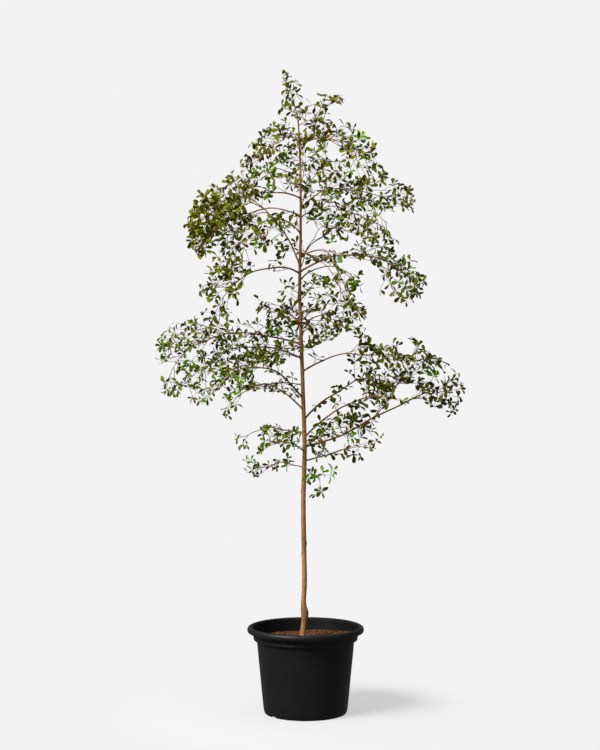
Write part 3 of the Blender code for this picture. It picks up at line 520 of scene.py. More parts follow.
trunkSkin = {
    "rings": 640,
    "sides": 72,
    "shaftSamples": 400,
    "footOut": 0.002,
    # relief, its cells around the trunk, its rate for each metre and its seed
    "ridges": (0.030, (12, 26, 5)),
    "plates": (0.030, (20, 90, 6), (36, 230, 7)),
    "growth": (0.022, (3, 160, 8)),
    # how much the leader thins, and the flare at the soil: share, height and reach
    "thins": 0.62,
    "flare": (0.16, 0.268, 0.010),
    # swelling where a bough leaves, in its radius: how far it stands out, half height,
    # and half width in radians
    "collar": (0.30, 2.6, 0.6),
    # height, bearing, how far it stands out, half height and half width in radians
    "knots": (
        (0.625, 0.1, 0.0022, 0.010, 0.9), (0.585, 3.1, 0.0020, 0.008, 0.8),
        (0.640, -1.9, -0.0016, 0.006, 0.6), (0.371, 0.0, 0.0018, 0.012, 1.1),
        (0.352, 2.8, 0.0010, 0.010, 0.9), (0.905, -2.2, 0.0012, 0.007, 0.7),
        (0.760, -0.9, 0.0012, 0.007, 0.7), (0.470, -1.2, 0.0011, 0.007, 0.7),
        (0.520, 2.4, 0.0012, 0.008, 0.7), (0.690, 1.2, 0.0010, 0.007, 0.7),
        (0.820, 3.0, 0.0011, 0.007, 0.7), (0.440, 1.5, -0.0010, 0.006, 0.5),
    ),
}


def relief(a, v, row):
    # The noises of this row at bearing a and height v, multiplied.
    made = 1.0
    for cells, rate, seed in row[1:]:
        made = made * lattice(a * cells / fullTurn, v * rate, seed, cells)
    return row[0] * made


def trunkRadii(level, turn, s):
    # The table's radius times 1 + long ridges + broken plates + growth rings, plus a
    # swelling at each knot and each bough, all functions of height and bearing.
    foot, tip, top = trunkForm["radius"][0][0], trunkForm["tip"], trunkForm["leaderTop"]
    past = np.clip((level - tip) / (top - tip), 0, 1)
    wide, flareHeight, flareReach = s["flare"]
    flare = 1 + wide * np.exp(-((level - flareHeight) / flareReach) ** 2)
    radius = smoothRead(trunkForm["radius"], np.clip(level, foot, tip))
    radius = radius * (1 - s["thins"] * past) * flare
    v, a = np.meshgrid(level, turn, indexing="ij")
    skin = radius[:, None] * (1 + relief(a, v, s["ridges"]) + relief(a, v, s["plates"])
                              + relief(a, v, s["growth"]))
    swellings, (stands, tall, broad) = list(s["knots"]), s["collar"]
    for limb in limbs:
        if limb["onTrunk"]:
            way, r = limb["line"][4] - limb["line"][0], limb["radius"]
            bearing = math.atan2(way[1], way[0])
            swellings.append((limb["root"], bearing, stands * r, tall * r, broad))
    for height, bearing, stand, tall, broad in swellings:
        gap = np.angle(np.exp(1j * (a - bearing)))
        skin = skin + stand * np.exp(-((v - height) / tall) ** 2 - (gap / broad) ** 2)
    return skin


def makeTrunk(s):
    # One tube from the soil to the leader's tip. Bearings stay true to the compass:
    # each ring is centre + radius * (cos a * east + sin a * north), square to the path.
    heights = np.linspace(trunkForm["foot"], trunkForm["tip"], s["shaftSamples"])
    shaft = np.stack([smoothRead(trunkForm["lean"], heights), heights * 0, heights], -1)
    line = np.concatenate([shaft, leader["line"][1:]])
    path = readLine(line, np.linspace(0.0, lineLength(line), s["rings"]))
    turn = np.linspace(0.0, fullTurn, s["sides"], endpoint=False)
    skin = trunkRadii(path[:, 2], turn, s)
    course = unit(np.gradient(path, axis=0))
    east = unit(np.cross(np.array([0.0, 1.0, 0.0]), course))
    north = np.cross(course, east)
    ring = east[:, None] * np.cos(turn)[:, None] + north[:, None] * np.sin(turn)[:, None]
    points = (path[:, None] + ring * skin[..., None]).reshape(-1, 3)
    foot, head = path[:1] - course[:1] * s["footOut"], path[-1:] + course[-1:] * skin[-1].mean()
    faces = [f[:, ::-1] for f in tubeFaces(1, s["rings"], s["sides"])]
    return np.concatenate([points, foot, head]), faces


trunkLook = {
    # noises: scale, detail, roughness and stretch
    "noises": ((26.0, 5.0, 0.62, (1.0, 1.0, 0.35)), (420.0, 6.0, 0.66, (1.0, 1.0, 0.14)),
               (120.0, 4.0, 0.6, (0.25, 0.25, 1.6))),
    # how much cracks and pale bands count in the colour, and the bands in the relief
    "weights": (0.75, 0.6, 0.4),
    "low": ((0.34, (158, 108, 60)), (0.50, (198, 145, 91)), (0.68, (222, 174, 117))),
    "high": ((0.34, (124, 76, 44)), (0.52, (164, 109, 67)), (0.70, (198, 145, 99))),
    "turnsRed": (1.00, 1.80),
    "fine": ((0.36, (164, 148, 132)), (0.58, white)),
    "pale": ((0.52, white), (0.70, (214, 196, 176))),
    "gloss": (0.62, 0.92),
    "bump": (0.0010, 0.9),
    # darker rings of bark at given heights, as shares of the way from the soil to the tip, and the
    # grey that each one and the bark between them is multiplied by
    "rings": ((0.057, 176), (0.186, 172), (0.297, 216)),
    "between": 242,
    "ringHalf": 0.030,
    "ringWave": 0.05,
    "ringSpan": (0.28, 2.33),
}


def trunkFinish(s):
    # Tan bark that darkens to reddish brown up in the crown, with fine cracks along the wood, pale
    # bands across it and darker rings at given heights. Each ring fades into the rest within half
    # its width above and below.
    skin = Finish("trunkBark", (150, 108, 72), 0.8)
    height = skin.node("SeparateXYZ", {"Vector": skin.place()})["Z"]
    blotch, grain, bands = (skin.noise(*row) for row in s["noises"])
    cracked, pale, raised = s["weights"]
    rise = skin.span(height, 0.0, 1.0, *s["turnsRed"])
    base = skin.mix(rise, skin.ramp(blotch, s["low"]), skin.ramp(blotch, s["high"]))
    base = skin.mix(cracked, base, skin.ramp(grain, s["fine"]), "MULTIPLY")
    wavy = skin.maths("MULTIPLY_ADD", bands, s["ringWave"], height)
    stops, half, between = [], s["ringHalf"], (s["between"],) * 3
    for spot, tone in s["rings"]:
        stops += [(spot - half, between), (spot, (tone,) * 3), (spot + half, between)]
    age = skin.ramp(skin.span(wavy, 0.0, 1.0, *s["ringSpan"]), stops)
    base = skin.mix(1.0, base, age, "MULTIPLY")
    base = skin.mix(pale, base, skin.ramp(bands, s["pale"]), "MULTIPLY")
    gloss, height = skin.span(grain, *s["gloss"]), skin.mix(raised, grain, bands)
    return skin.dressed(base, gloss, height, *s["bump"])


trunkPiece = newPiece("trunkWood", *makeTrunk(trunkSkin), [trunkFinish(trunkLook)], "trunk_bark")
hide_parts("trunk")


# The crown: shoots along each limb, twigs along each shoot, leaves in rosettes.

crown = {
    "seed": 24,
    # along a limb: the first shoot, the first on its bare stretch as a length and as a
    # share, the steps between them, how uneven those are, and the nearest to the trunk
    "firstShoot": 0.018,
    "firstBare": (0.035, 0.12),
    "shootStep": 0.034,
    "bareStep": 0.070,
    "uneven": 0.006,
    "nearest": 0.014,
    # along a shoot: the first twig, the end that stays clear, the step and its spread
    "firstTwig": (0.010, 0.024),
    "lastTwig": 0.006,
    "twigStep": 0.044,
    "twigSpread": (0.93, 1.07),
    "look": (0.010, 0.004),
    # a shoot's reach as a share of the limb's spread: least, swell, where the swell
    # starts, and the share on the bare stretch
    "reach": (0.50, 0.60, 0.1, 0.42),
    "shootReach": (0.70, 1.20),
    "shootAngle": (34.0, 68.0),
    "shootLean": (-85.0, 85.0, 0.75),
    "shootDroop": (-0.18, 0.16),
    "shootWave": (-0.03, 0.03),
    "twigLength": (0.016, 0.052),
    "twigAngle": (35.0, 70.0),
    "twigLean": (-40.0, 75.0),
    "twigDroop": (-0.30, 0.00),
    "twigWave": (-0.04, 0.04),
    "onward": 0.22,
    # for shoots and twigs: points, tries, and how much shorter each try is
    "points": (9, 5),
    "tries": (4, 2),
    "shorter": (0.8, 0.75),
    # a shoot's radius: least, most, and its share of the limb's
    "shootSize": (0.00085, 0.0013, 0.45),
    # leaves in a rosette on a twig, at a shoot's tip, and at a tip in the shade
    "twigLeaves": (3, 6),
    "tipLeaves": (4, 7),
    "shadeLeaves": 2,
    "boxRoom": 0.012,
    # the edge of open sky: its noise, and the noise's shift, rate and seed
    "ragged": (0.55, 20, 38, 17),
    # rosettes that fit in a square of this side, by the first words of a limb's name
    "square": 0.040,
    "room": (("left_high", 4), ("right_low", 3), ("left_low_g", 4), ("left_inner_b", 3),
             ("leader", 3), ("", 2)),
    # nothing grows this near before the trunk, up to this height
    "clear": 0.009,
    "clearTop": 2.17,
    # height, then how far the crown reaches to the left and right of the axis
    "outline": (
        (0.79, 0.000, 0.07), (0.88, -0.21, 0.125), (0.93, -0.262, 0.285), (1.04, -0.275, 0.29),
        (1.085, -0.295, 0.32), (1.095, -0.3, 0.56), (1.18, -0.56, 0.6), (1.26, -0.59, 0.58),
        (1.31, -0.576, 0.5), (1.345, -0.568, 0.45), (1.38, -0.555, 0.43), (1.44, -0.5, 0.3),
        (1.5, -0.385, 0.44), (1.56, -0.4, 0.465), (1.64, -0.375, 0.452), (1.68, -0.39, 0.4),
        (1.72, -0.435, 0.362), (1.755, -0.45, 0.335), (1.785, -0.455, 0.305),
        (1.825, -0.445, 0.298), (1.85, -0.44, 0.41), (1.95, -0.4, 0.405), (1.99, -0.29, 0.32),
        (2.05, -0.235, 0.265), (2.12, -0.205, 0.265), (2.16, -0.175, 0.215), (2.22, -0.105, 0.16),
        (2.29, -0.09, 0.14), (2.3, -0.085, 0.000), (2.385, -0.095, -0.03),
    ),
    # open sky: across, height, half width, half height
    "sky": (
        (0.022, 2.275, 0.022, 0.02), (0.014, 2.213, 0.02, 0.01), (0.105, 2.235, 0.014, 0.025),
        (0.1, 2.08, 0.028, 0.035), (0.02, 2.105, 0.018, 0.018), (-0.08, 2.165, 0.014, 0.012),
        (-0.085, 2.01, 0.022, 0.016), (0.305, 1.832, 0.035, 0.02), (-0.055, 1.905, 0.045, 0.012),
        (-0.16, 1.868, 0.062, 0.02), (-0.065, 1.835, 0.015, 0.015), (-0.12, 1.775, 0.026, 0.015),
        (-0.165, 1.672, 0.022, 0.028), (-0.062, 1.69, 0.02, 0.018), (-0.15, 1.59, 0.072, 0.045),
        (0.025, 1.79, 0.03, 0.025), (0.03, 1.725, 0.04, 0.034), (0.14, 1.725, 0.042, 0.012),
        (0.06, 1.64, 0.04, 0.022), (0.175, 1.655, 0.06, 0.022), (0.245, 1.57, 0.03, 0.05),
        (-0.215, 1.515, 0.035, 0.035), (-0.145, 1.545, 0.03, 0.025), (0.045, 1.465, 0.03, 0.018),
        (0.29, 1.46, 0.035, 0.05), (0.15, 1.375, 0.04, 0.025), (0.085, 1.345, 0.055, 0.025),
        (0.075, 1.25, 0.07, 0.045), (0.04, 1.185, 0.035, 0.045), (-0.03, 1.262, 0.02, 0.02),
        (-0.155, 1.235, 0.035, 0.02), (-0.2, 1.172, 0.04, 0.016), (-0.15, 1.15, 0.045, 0.022),
        (-0.15, 1.1, 0.08, 0.028), (0.17, 1.175, 0.05, 0.015), (0.09, 1.11, 0.035, 0.015),
        (0.33, 1.11, 0.04, 0.035), (0.369, 1.19, 0.042, 0.026), (0.43, 1.095, 0.06, 0.045),
        (0.378, 1.35, 0.03, 0.024), (-0.2, 1.005, 0.02, 0.03), (-0.12, 0.96, 0.04, 0.022),
        (0.11, 0.985, 0.035, 0.018), (-0.495, 1.265, 0.02, 0.035),
    ),
}


def inCrown(points, c):
    # Inside the outline as read from the front, out of every patch of sky, whose edge
    # is 1 + ragged * noise, not right before the trunk, and inside the solids' own box.
    x, z = toFront(points)
    table = np.array(c["outline"])
    left, right = np.interp(z, table[:, 0], table[:, 1]), np.interp(z, table[:, 0], table[:, 2])
    inside = (x > left) & (x < right) & (z > table[0, 0]) & (z < table[-1, 0])
    ragged, shift, rate, seed = c["ragged"]
    edge = 1.0 + ragged * lattice(x * rate + shift, z * rate, seed)
    for across, height, wide, tall in c["sky"]:
        inside &= ((x - across) / wide) ** 2 + ((z - height) / tall) ** 2 > edge
    beside = np.abs(points[..., 0] - smoothRead(trunkForm["lean"], points[..., 2]))
    inside &= (points[..., 1] > 0) | (beside > c["clear"]) | (points[..., 2] > c["clearTop"])
    low, high = cadLow - c["boxRoom"], cadHigh + c["boxRoom"]
    return inside & np.all((points > low) & (points < high), axis=-1)


def sideFrame(course):
    # Two directions square to a course: one level, one towards the sky.
    level = unit(np.cross(course, upward))
    return level, np.cross(level, course)


def shootPath(c, rng, root, course, side, angle, lean, length, kind):
    # A shoot leaves its parent at an angle, bends back towards the parent's own
    # course, sinks with t^2 and weaves with sin(3 pi t). Kind 0 is a shoot, 1 a twig.
    droop = rng.uniform(*(c["shootDroop"], c["twigDroop"])[kind])
    wave = rng.uniform(*(c["shootWave"], c["twigWave"])[kind])
    side, lift = side
    out = math.cos(lean) * side + math.sin(lean) * lift
    start = math.cos(angle) * course + math.sin(angle) * out
    t = np.linspace(0.0, 1.0, c["points"][kind])[:, None]
    path = root + length * (t * start + c["onward"] * t ** 2 * course)
    path = path + length * (wave * np.sin(3 * math.pi * t) * np.cross(start, out))
    path[:, 2] -= length * droop * t[:, 0] ** 2
    return path


def byLimb(table, name):
    # The first row of the table whose words begin the limb's name.
    return next(value for start, value in table if name.startswith(start))


def hasLight(c, point, name, seen):
    # As read from the front, each square has room for a few rosettes: the limb's own
    # number, and one more in every third square.
    x, z = toFront(point)
    across, height = math.floor(x / c["square"]), math.floor(z / c["square"])
    room = byLimb(c["room"], name) + ((across + 2 * height) % 3 == 0)
    count = seen.get((across, height), 0)
    seen[across, height] = min(count + 1, room)
    return count < room


def growShoots(c):
    # Along each limb, shoots on alternate sides; along each shoot, twigs; at the end
    # of each, a rosette. A shoot that leaves the crown is tried again, shorter. The
    # limb ends at its last shoot.
    shoots, twigs, tufts, seen = [], [], [], {}
    (least, swell, start, bareReach), (low, high, tame) = c["reach"], c["shootLean"]
    thinnest, thickest, girth = c["shootSize"]
    for limb in limbs + [leader]:
        rng = np.random.default_rng([c["seed"], limb["order"]])
        line, total = limb["line"], lineLength(limb["line"])
        split = limb["end"] = limb["bare"] * total
        thin = np.arange(max(split, c["firstShoot"]), total, c["shootStep"] / limb["leafy"])
        first = max(c["firstBare"][0], c["firstBare"][1] * total)
        marks = np.concatenate([np.arange(first, split, c["bareStep"]), thin, [total]])
        marks = marks + rng.uniform(-c["uneven"], c["uneven"], len(marks))
        marks = np.clip(marks, c["nearest"], total)
        spots, courses = readLine(line, marks), courseAt(line, marks, c["look"][0])
        for number, (mark, spot, course) in enumerate(zip(marks, spots, courses)):
            side, lift = sideFrame(course)
            side = side * (1 if (number + limb["order"]) % 2 else -1)
            share = (mark - split) / max(total - split, 1e-6)
            full = least + swell * math.sin(math.pi * min(share * (1 - start) + start, 1))
            reach = limb["spread"] * (bareReach if mark < split else full)
            for attempt in range(c["tries"][0]):
                angle = math.radians(rng.uniform(*c["shootAngle"]))
                lean = math.radians(rng.uniform(low, high) * limb["thick"] * tame)
                length = reach * rng.uniform(*c["shootReach"]) * c["shorter"][0] ** attempt
                path = shootPath(c, rng, spot, course, (side, lift), angle, lean, length, 0)
                if inCrown(path[[len(path) // 2, -1]], c).all():
                    size = max(thinnest, min(thickest, girth * limb["radius"]))
                    growTwigs(c, rng, path, limb["name"], seen, twigs, tufts, len(shoots))
                    shoots.append((path, size, limb["name"]))
                    limb["end"] = mark
                    break
    return shoots, twigs, tufts


def growTwigs(c, rng, shoot, name, seen, twigs, tufts, spray):
    # Twigs along one shoot, each with its rosette, and the shoot's own at its tip.
    end = lineLength(shoot) - c["lastTwig"]
    marks = np.arange(rng.uniform(*c["firstTwig"]), end, c["twigStep"])
    marks = marks * rng.uniform(*c["twigSpread"], len(marks))
    spots, courses = readLine(shoot, marks), courseAt(shoot, marks, c["look"][1])
    for number, (spot, course) in enumerate(zip(spots, courses)):
        side, lift = sideFrame(course)
        side = side * (1 if number % 2 else -1)
        for attempt in range(c["tries"][1]):
            length = rng.uniform(*c["twigLength"]) * c["shorter"][1] ** attempt
            angle = math.radians(rng.uniform(*c["twigAngle"]))
            lean = math.radians(rng.uniform(*c["twigLean"]))
            path = shootPath(c, rng, spot, course, (side, lift), angle, lean, length, 1)
            if inCrown(path[-1:], c).all() and hasLight(c, path[-1], name, seen):
                leaves = rng.integers(*c["twigLeaves"])
                twigs.append(path)
                tufts.append((path[-1], unit(path[-1] - path[-2]), leaves, spray))
                break
    lit = hasLight(c, shoot[-1], name, seen)
    leaves = rng.integers(*c["tipLeaves"]) if lit else c["shadeLeaves"]
    tufts.append((shoot[-1], unit(shoot[-1] - shoot[-2]), leaves, spray))


shoots, twigs, tufts = growShoots(crown)
shootPaths, shootSizes, shootNames = zip(*shoots)
print("crown grown:", len(shoots), "shoots,", len(twigs), "twigs,", len(tufts), "rosettes")


# Leaves.

leaf = {
    "seed": 33,
    "length": (0.0265, 0.0370),
    # the youngest leaf's share of the full length, and how far leaves sit down the
    # twig: the most, and the shares of it that chance gives
    "youngest": 0.74,
    "seat": (0.009, 0.5, 1.0),
    "width": (0.38, 0.48),
    "fold": (0.06, 0.34),
    "curl": (0.02, 0.26),
    "twist": 0.25,
    "thick": 0.016,
    "opening": (28.0, 84.0),
    "openingChance": 10.0,
    "turnChance": 0.3,
    "stations": (0.14, 0.34, 0.56, 0.76, 0.92),
    "widths": (0.20, 0.56, 0.93, 1.00, 0.64),
    # how much a leaf faces along its twig, to the sky and anywhere
    "onward": 0.6,
    "skyward": 0.55,
    "loose": 0.55,
    "sharp": 62.0,
    # name, colour, roughness
    "shades": (
        ("leafDeep", (58, 67, 4), 0.48), ("leafOlive", (92, 98, 5), 0.48),
        ("leafGreen", (82, 114, 8), 0.46), ("leafMoss", (116, 119, 8), 0.46),
        ("leafBronze", (102, 92, 8), 0.50), ("leafYoung", (116, 168, 36), 0.44),
        ("leafRusset", (120, 86, 32), 0.54),
    ),
    # how many sprays of each shade a limb has, by the first words of its name; the upper left has
    # more of the pale moss shade, painted light on its lit side, and the lower right has more of
    # the deep shade, painted shade
    "shares": (
        ("left_high", (0.14, 0.38, 0.10, 0.30, 0.07, 0.00, 0.01)),
        ("left_low", (0.16, 0.32, 0.40, 0.06, 0.04, 0.02, 0.00)),
        ("left_bottom", (0.20, 0.32, 0.32, 0.10, 0.04, 0.02, 0.00)),
        ("right_drop", (0.00, 0.20, 0.40, 0.00, 0.00, 0.40, 0.00)),
        ("right_low", (0.46, 0.36, 0.10, 0.04, 0.04, 0.00, 0.00)),
        ("", (0.28, 0.46, 0.15, 0.06, 0.04, 0.00, 0.01)),
    ),
    # how large the leaves of a limb are, by the first words of its name
    "sizes": (("left_high", 1.12), ("left_low", 0.90), ("left_bottom", 0.92),
              ("right_low", 1.04), ("leader", 0.90), ("", 0.98)),
    # new growth: across and height of its middle as read from the front, its reach,
    # the share of sprays there that keep their own shade, and the shade of the rest
    "young": (0.188, 2.140, 0.045, 0.4, 5),
    "tiers": (("leavesLow", 0.0, 1.285), ("leavesMiddle", 1.285, 1.690),
              ("leavesHigh", 1.690, 9.0)),
}


leafLook = {
    "specular": 0.06,
    # half width of the midrib, where it fades from and to
    "rib": (0.012, 0.060),
    # side veins: their slant, the step between them and half their width
    "veins": (-0.55, 0.055, 0.018),
    "veinTone": 0.35,
    "mottle": (140.0, 3.0),
    "mottleStops": (0.36, 0.64),
    "shade": 0.84,
    # how much paler the veins and the undersides are: times and plus
    "veinPale": (1.18, 10),
    "underPale": (1.12, 5),
    "underDull": 0.18,
    "gloss": (-0.05, 0.12),
    "bump": (0.0002, 0.6),
}


def paler(colour, change):
    # Each channel times the first number plus the second.
    return tuple(min(255.0, c * change[0] + change[1]) for c in colour)


def leafFinish(name, colour, roughness, s):
    # A leathery leaf: its colour with a fine mottle, a paler midrib down the middle
    # of its own surface map, side veins that slant off it, and an uneven gloss.
    skin = Finish(name, colour, roughness, s["specular"])
    spot = skin.node("UVMap", {}, uv_map="surface")["UV"]
    parts = skin.node("SeparateXYZ", {"Vector": spot})
    away = skin.maths("ABSOLUTE", skin.maths("SUBTRACT", parts["Y"], 0.5))
    slant, step, wide = s["veins"]
    comb = skin.maths("PINGPONG", skin.maths("MULTIPLY_ADD", away, slant, parts["X"]), step)
    veins = skin.span(comb, s["veinTone"], 0.0, 0.0, wide)
    marks = skin.maths("MAXIMUM", skin.span(away, 1.0, 0.0, *s["rib"]), veins)
    mottle, pale = skin.noise(*s["mottle"]), linear(paler(colour, s["veinPale"]))
    dark = tuple(c * s["shade"] for c in colour)
    blade = skin.ramp(mottle, zip(s["mottleStops"], (dark, colour)))
    gloss = skin.span(mottle, roughness + s["gloss"][0], roughness + s["gloss"][1])
    return skin.dressed(skin.mix(marks, blade, pale), gloss, marks, *s["bump"])


def leafFinishes(shades, s):
    # The upper sides of all shades, then a paler, duller underside for each.
    tops = [leafFinish(name, colour, rough, s) for name, colour, rough in shades]
    backs = [leafFinish(name + "Under", paler(colour, s["underPale"]), rough + s["underDull"], s)
             for name, colour, rough in shades]
    return tops + backs


def leafForm(s):
    # The leaf in its own units, length 1 along x: rings of left edge, underside,
    # right edge and upper side at each station, then the root and tip points.
    t, w = np.array(s["stations"]), np.array(s["widths"])
    along = np.repeat(t[:, None], 4, axis=1)
    across = w[:, None] * np.array([1.0, 0.0, -1.0, 0.0])
    above = np.repeat(np.array([[0.0, -0.5, 0.0, 0.5]]), len(t), axis=0)
    form = np.stack([along, across, above], -1).reshape(-1, 3)
    return np.concatenate([form, [[0.0, 0.0, 0.0], [1.0, 0.0, 0.0]]])


def growLeaves(s, rng):
    # Leaf k of a rosette turns 137.5 degrees from the one before and opens wider
    # the lower it sits. Its face is the mean of the twig's course, the sky and chance.
    tips, courses, counts, sprays = (np.array(column) for column in zip(*tufts))
    which = np.repeat(np.arange(len(tufts)), counts)
    order = np.concatenate([np.arange(n) for n in counts])
    total = len(which)
    tip, course, spray = tips[which], courses[which], sprays[which]
    age = order / np.maximum(counts[which] - 1, 1)
    side, lift = sideFrame(course)
    bearing = order * leafTurn + rng.uniform(0, fullTurn, len(tufts))[which]
    bearing = bearing + rng.uniform(-s["turnChance"], s["turnChance"], total)
    (low, high), chance, (seat, least, most) = s["opening"], s["openingChance"], s["seat"]
    opening = np.radians(low + (high - low) * age + rng.uniform(-chance, chance, total))
    out = side * np.cos(bearing)[:, None] + lift * np.sin(bearing)[:, None]
    way = unit(course * np.cos(opening)[:, None] + out * np.sin(opening)[:, None])
    root = tip - course * (age * seat * rng.uniform(least, most, total))[:, None]
    face = course * s["onward"] + upward * s["skyward"] + rng.normal(0, 1, (total, 3)) * s["loose"]
    face = unit(face - way * (face * way).sum(-1, keepdims=True))
    size = rng.uniform(*s["length"], total) * (s["youngest"] + (1 - s["youngest"]) * age)
    size = size * np.array([byLimb(s["sizes"], name) for name in shootNames])[spray]
    return root, way, face, size, spray


def leafPoints(s, rng, root, way, face, size):
    # Each leaf: root + length * (along * way + across * side + height * face), where
    # height is the fold |across| minus curl * along^2.
    form, total = leafForm(s), len(root)
    half = rng.uniform(*s["width"], total)[:, None] / 2
    fold = rng.uniform(*s["fold"], total)[:, None]
    curl = rng.uniform(*s["curl"], total)[:, None]
    twist = rng.uniform(-s["twist"], s["twist"], total)[:, None]
    along = form[:, 0][None]
    across = form[:, 1][None] * half
    height = np.abs(across) * fold * 2 - curl * along ** 2 + form[:, 2][None] * s["thick"]
    height = height + across * twist * along
    points = along[..., None] * way[:, None] + across[..., None] * np.cross(face, way)[:, None]
    points = points + height[..., None] * face[:, None]
    return root[:, None] + size[:, None, None] * points


def leafSpots(s):
    # Each vertex's place in the leaf's own map: along it, and across it from 0 to 1.
    form = leafForm(s)
    widths = np.append(np.repeat(np.array(s["widths"]), 4), [1.0, 1.0])
    return np.stack([form[:, 0], 0.5 + 0.5 * form[:, 1] / widths], -1)


def sprayTones(s, rng):
    # Each spray's shade, by its limb's shares, which paint light on the lit upper left and shade on
    # the lower right; one place on the right is new growth.
    chance = rng.uniform(0, 1, len(shoots))
    tone = []
    for pick, name in zip(chance, shootNames):
        shares = byLimb(s["shares"], name)
        tone.append(int(np.searchsorted(np.cumsum(shares) / sum(shares), pick)))
    x, z = toFront(np.array(shootPaths)[:, -1])
    across, height, reach, kept, youngShade = s["young"]
    fresh = (np.hypot(x - across, z - height) < reach) & (chance > kept)
    return np.where(fresh, youngShade, tone)


def makeLeaves(s):
    # Every leaf whose tip is in the crown, in one piece for each tier of heights.
    rng = np.random.default_rng(s["seed"])
    root, way, face, size, spray = growLeaves(s, rng)
    points = leafPoints(s, rng, root, way, face, size)
    keep = inCrown(points[:, -1], crown)
    points, spray = points[keep], spray[keep]
    tone, shades = sprayTones(s, rng), len(s["shades"])
    finishes, spots = leafFinishes(s["shades"], leafLook), leafSpots(s)
    under = np.array([shades, shades, 0, 0])
    pieces = []
    for name, low, high in s["tiers"]:
        mine = (points[:, 0, 2] >= low) & (points[:, 0, 2] < high)
        block, shade = points[mine], tone[spray[mine]]
        faces = tubeFaces(len(block), len(s["stations"]), 4)
        slots = [np.repeat(shade, len(f) // len(block)) + np.tile(under, len(f) // 4)
                 for f in faces]
        corner = np.concatenate([f.reshape(-1) for f in faces]) % len(spots)
        pieces.append(newPiece(name, block.reshape(-1, 3), faces, finishes, "leaf_foliage",
                               np.concatenate(slots), spots[corner], s["sharp"]))
    print("leaves:", len(points))
    return pieces


leafPieces = makeLeaves(leaf)


# Twigs and boughs.

wood = {
    "boughSides": 10,
    "boughRings": 64,
    # a limb's radius at its root, just past it, and where its bare stretch ends, as
    # shares of its own; the share of its length where the flare ends and the least
    # where the taper may start; and the radius of its tip
    "taper": (1.50, 1.05, 0.78),
    "taperStops": (0.035, 0.10),
    "tip": 0.0010,
    # knobbles: depth, rate and the shift between limbs, then for each noise its cells
    # around the limb, its rate, weight and seed
    "knobble": (0.09, 55, 7),
    "knobs": ((4, 1, 1.0, 11), (8, 3, 0.5, 12)),
    # sides, how much a stem thins to its tip, and a twig's radius
    "shootForm": (6, 0.45),
    "twigForm": (4, 0.35),
    "twigRadius": 0.00072,
}

boughLook = {
    "rough": 0.8,
    "noises": ((30.0, 5.0, 0.6, (1.0, 1.0, 0.5)), (380.0, 6.0, 0.65, (1.0, 1.0, 0.5))),
    "stops": (0.32, 0.50, 0.70),
    # which noise, its weight and stops; for gloss and bump, which noise and its range
    "over": (1, 0.8, ((0.34, (158, 146, 134)), (0.60, white))),
    "gloss": (1, 0.62, 0.92),
    "bump": (1, 0.0008, 0.8),
}

twigLook = {
    "rough": 0.7,
    "noises": ((60.0, 4.0), (900.0, 3.0)),
    "stops": (0.36, 0.52, 0.70),
    "gloss": (0, 0.55, 0.82),
    "bump": (1, 0.0003, 0.5),
}


def makeBoughs(w):
    # Each limb's line up to its last shoot as a tube, wide at the root and fine at the
    # tip. Its radius is the taper times 1 + noise, so it looks knobbly.
    parts, sides = [], w["boughSides"]
    (depth, rate, shift), (flareEnd, taperStart) = w["knobble"], w["taperStops"]
    turn = np.arange(sides) / sides
    for limb in limbs:
        end, r = limb["end"], limb["radius"]
        marks = np.linspace(0.0, end, w["boughRings"])
        stops = (0.0, flareEnd, max(limb["bare"], taperStart), 1.0)
        sizes = [share * r for share in w["taper"]] + [w["tip"]]
        v, a = np.meshgrid(marks * rate + shift * limb["order"], turn, indexing="ij")
        bumps = sum(weight * lattice(a * cells, v * fast, seed, cells)
                    for cells, fast, weight, seed in w["knobs"])
        skin = np.interp(marks / end, stops, sizes)[:, None] * (1 + depth * bumps)
        parts.append(tubes(readLine(limb["line"], marks)[None], skin[None], sides))
    return joined(parts)


def makeStems(paths, radii, form):
    # Many thin stems at once, each tapering evenly to 1 - shrink of its radius.
    sides, shrink = form
    t = np.linspace(0.0, 1.0, paths.shape[1])
    return tubes(paths, radii[:, None] * (1.0 - shrink * t)[None], sides)


boughBark = layeredFinish("boughBark", ((106, 62, 34), (150, 96, 57), (186, 134, 88)), boughLook)
boughPiece = newPiece("boughs", *makeBoughs(wood), [boughBark], "bough_bark")
twigBark = layeredFinish("twigBark", ((78, 46, 26), (112, 72, 42), (140, 98, 62)), twigLook)
shootSkin = makeStems(np.array(shootPaths), np.array(shootSizes), wood["shootForm"])
shootPiece = newPiece("leafyShoots", *shootSkin, [twigBark], "leaf_foliage")
twigSkin = makeStems(np.array(twigs), np.full(len(twigs), wood["twigRadius"]), wood["twigForm"])
twigPiece = newPiece("fineTwigs", *twigSkin, [twigBark], "leaf_foliage")


def replaceMasses():
    # Hide the solid masses, tier by tier of heights and then all of them, and every solid bough.
    masses = [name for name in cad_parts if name.startswith("foliage_")]
    heights = np.array([(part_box(name)[0][2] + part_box(name)[1][2]) / 2 for name in masses])
    for piece, (title, low, high) in zip(leafPieces, leaf["tiers"]):
        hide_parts(*[name for name, z in zip(masses, heights) if low <= z < high])
    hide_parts(*masses)
    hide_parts(*masses)
    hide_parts(*[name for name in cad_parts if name.startswith("bough_")])


replaceMasses()


# The pot.

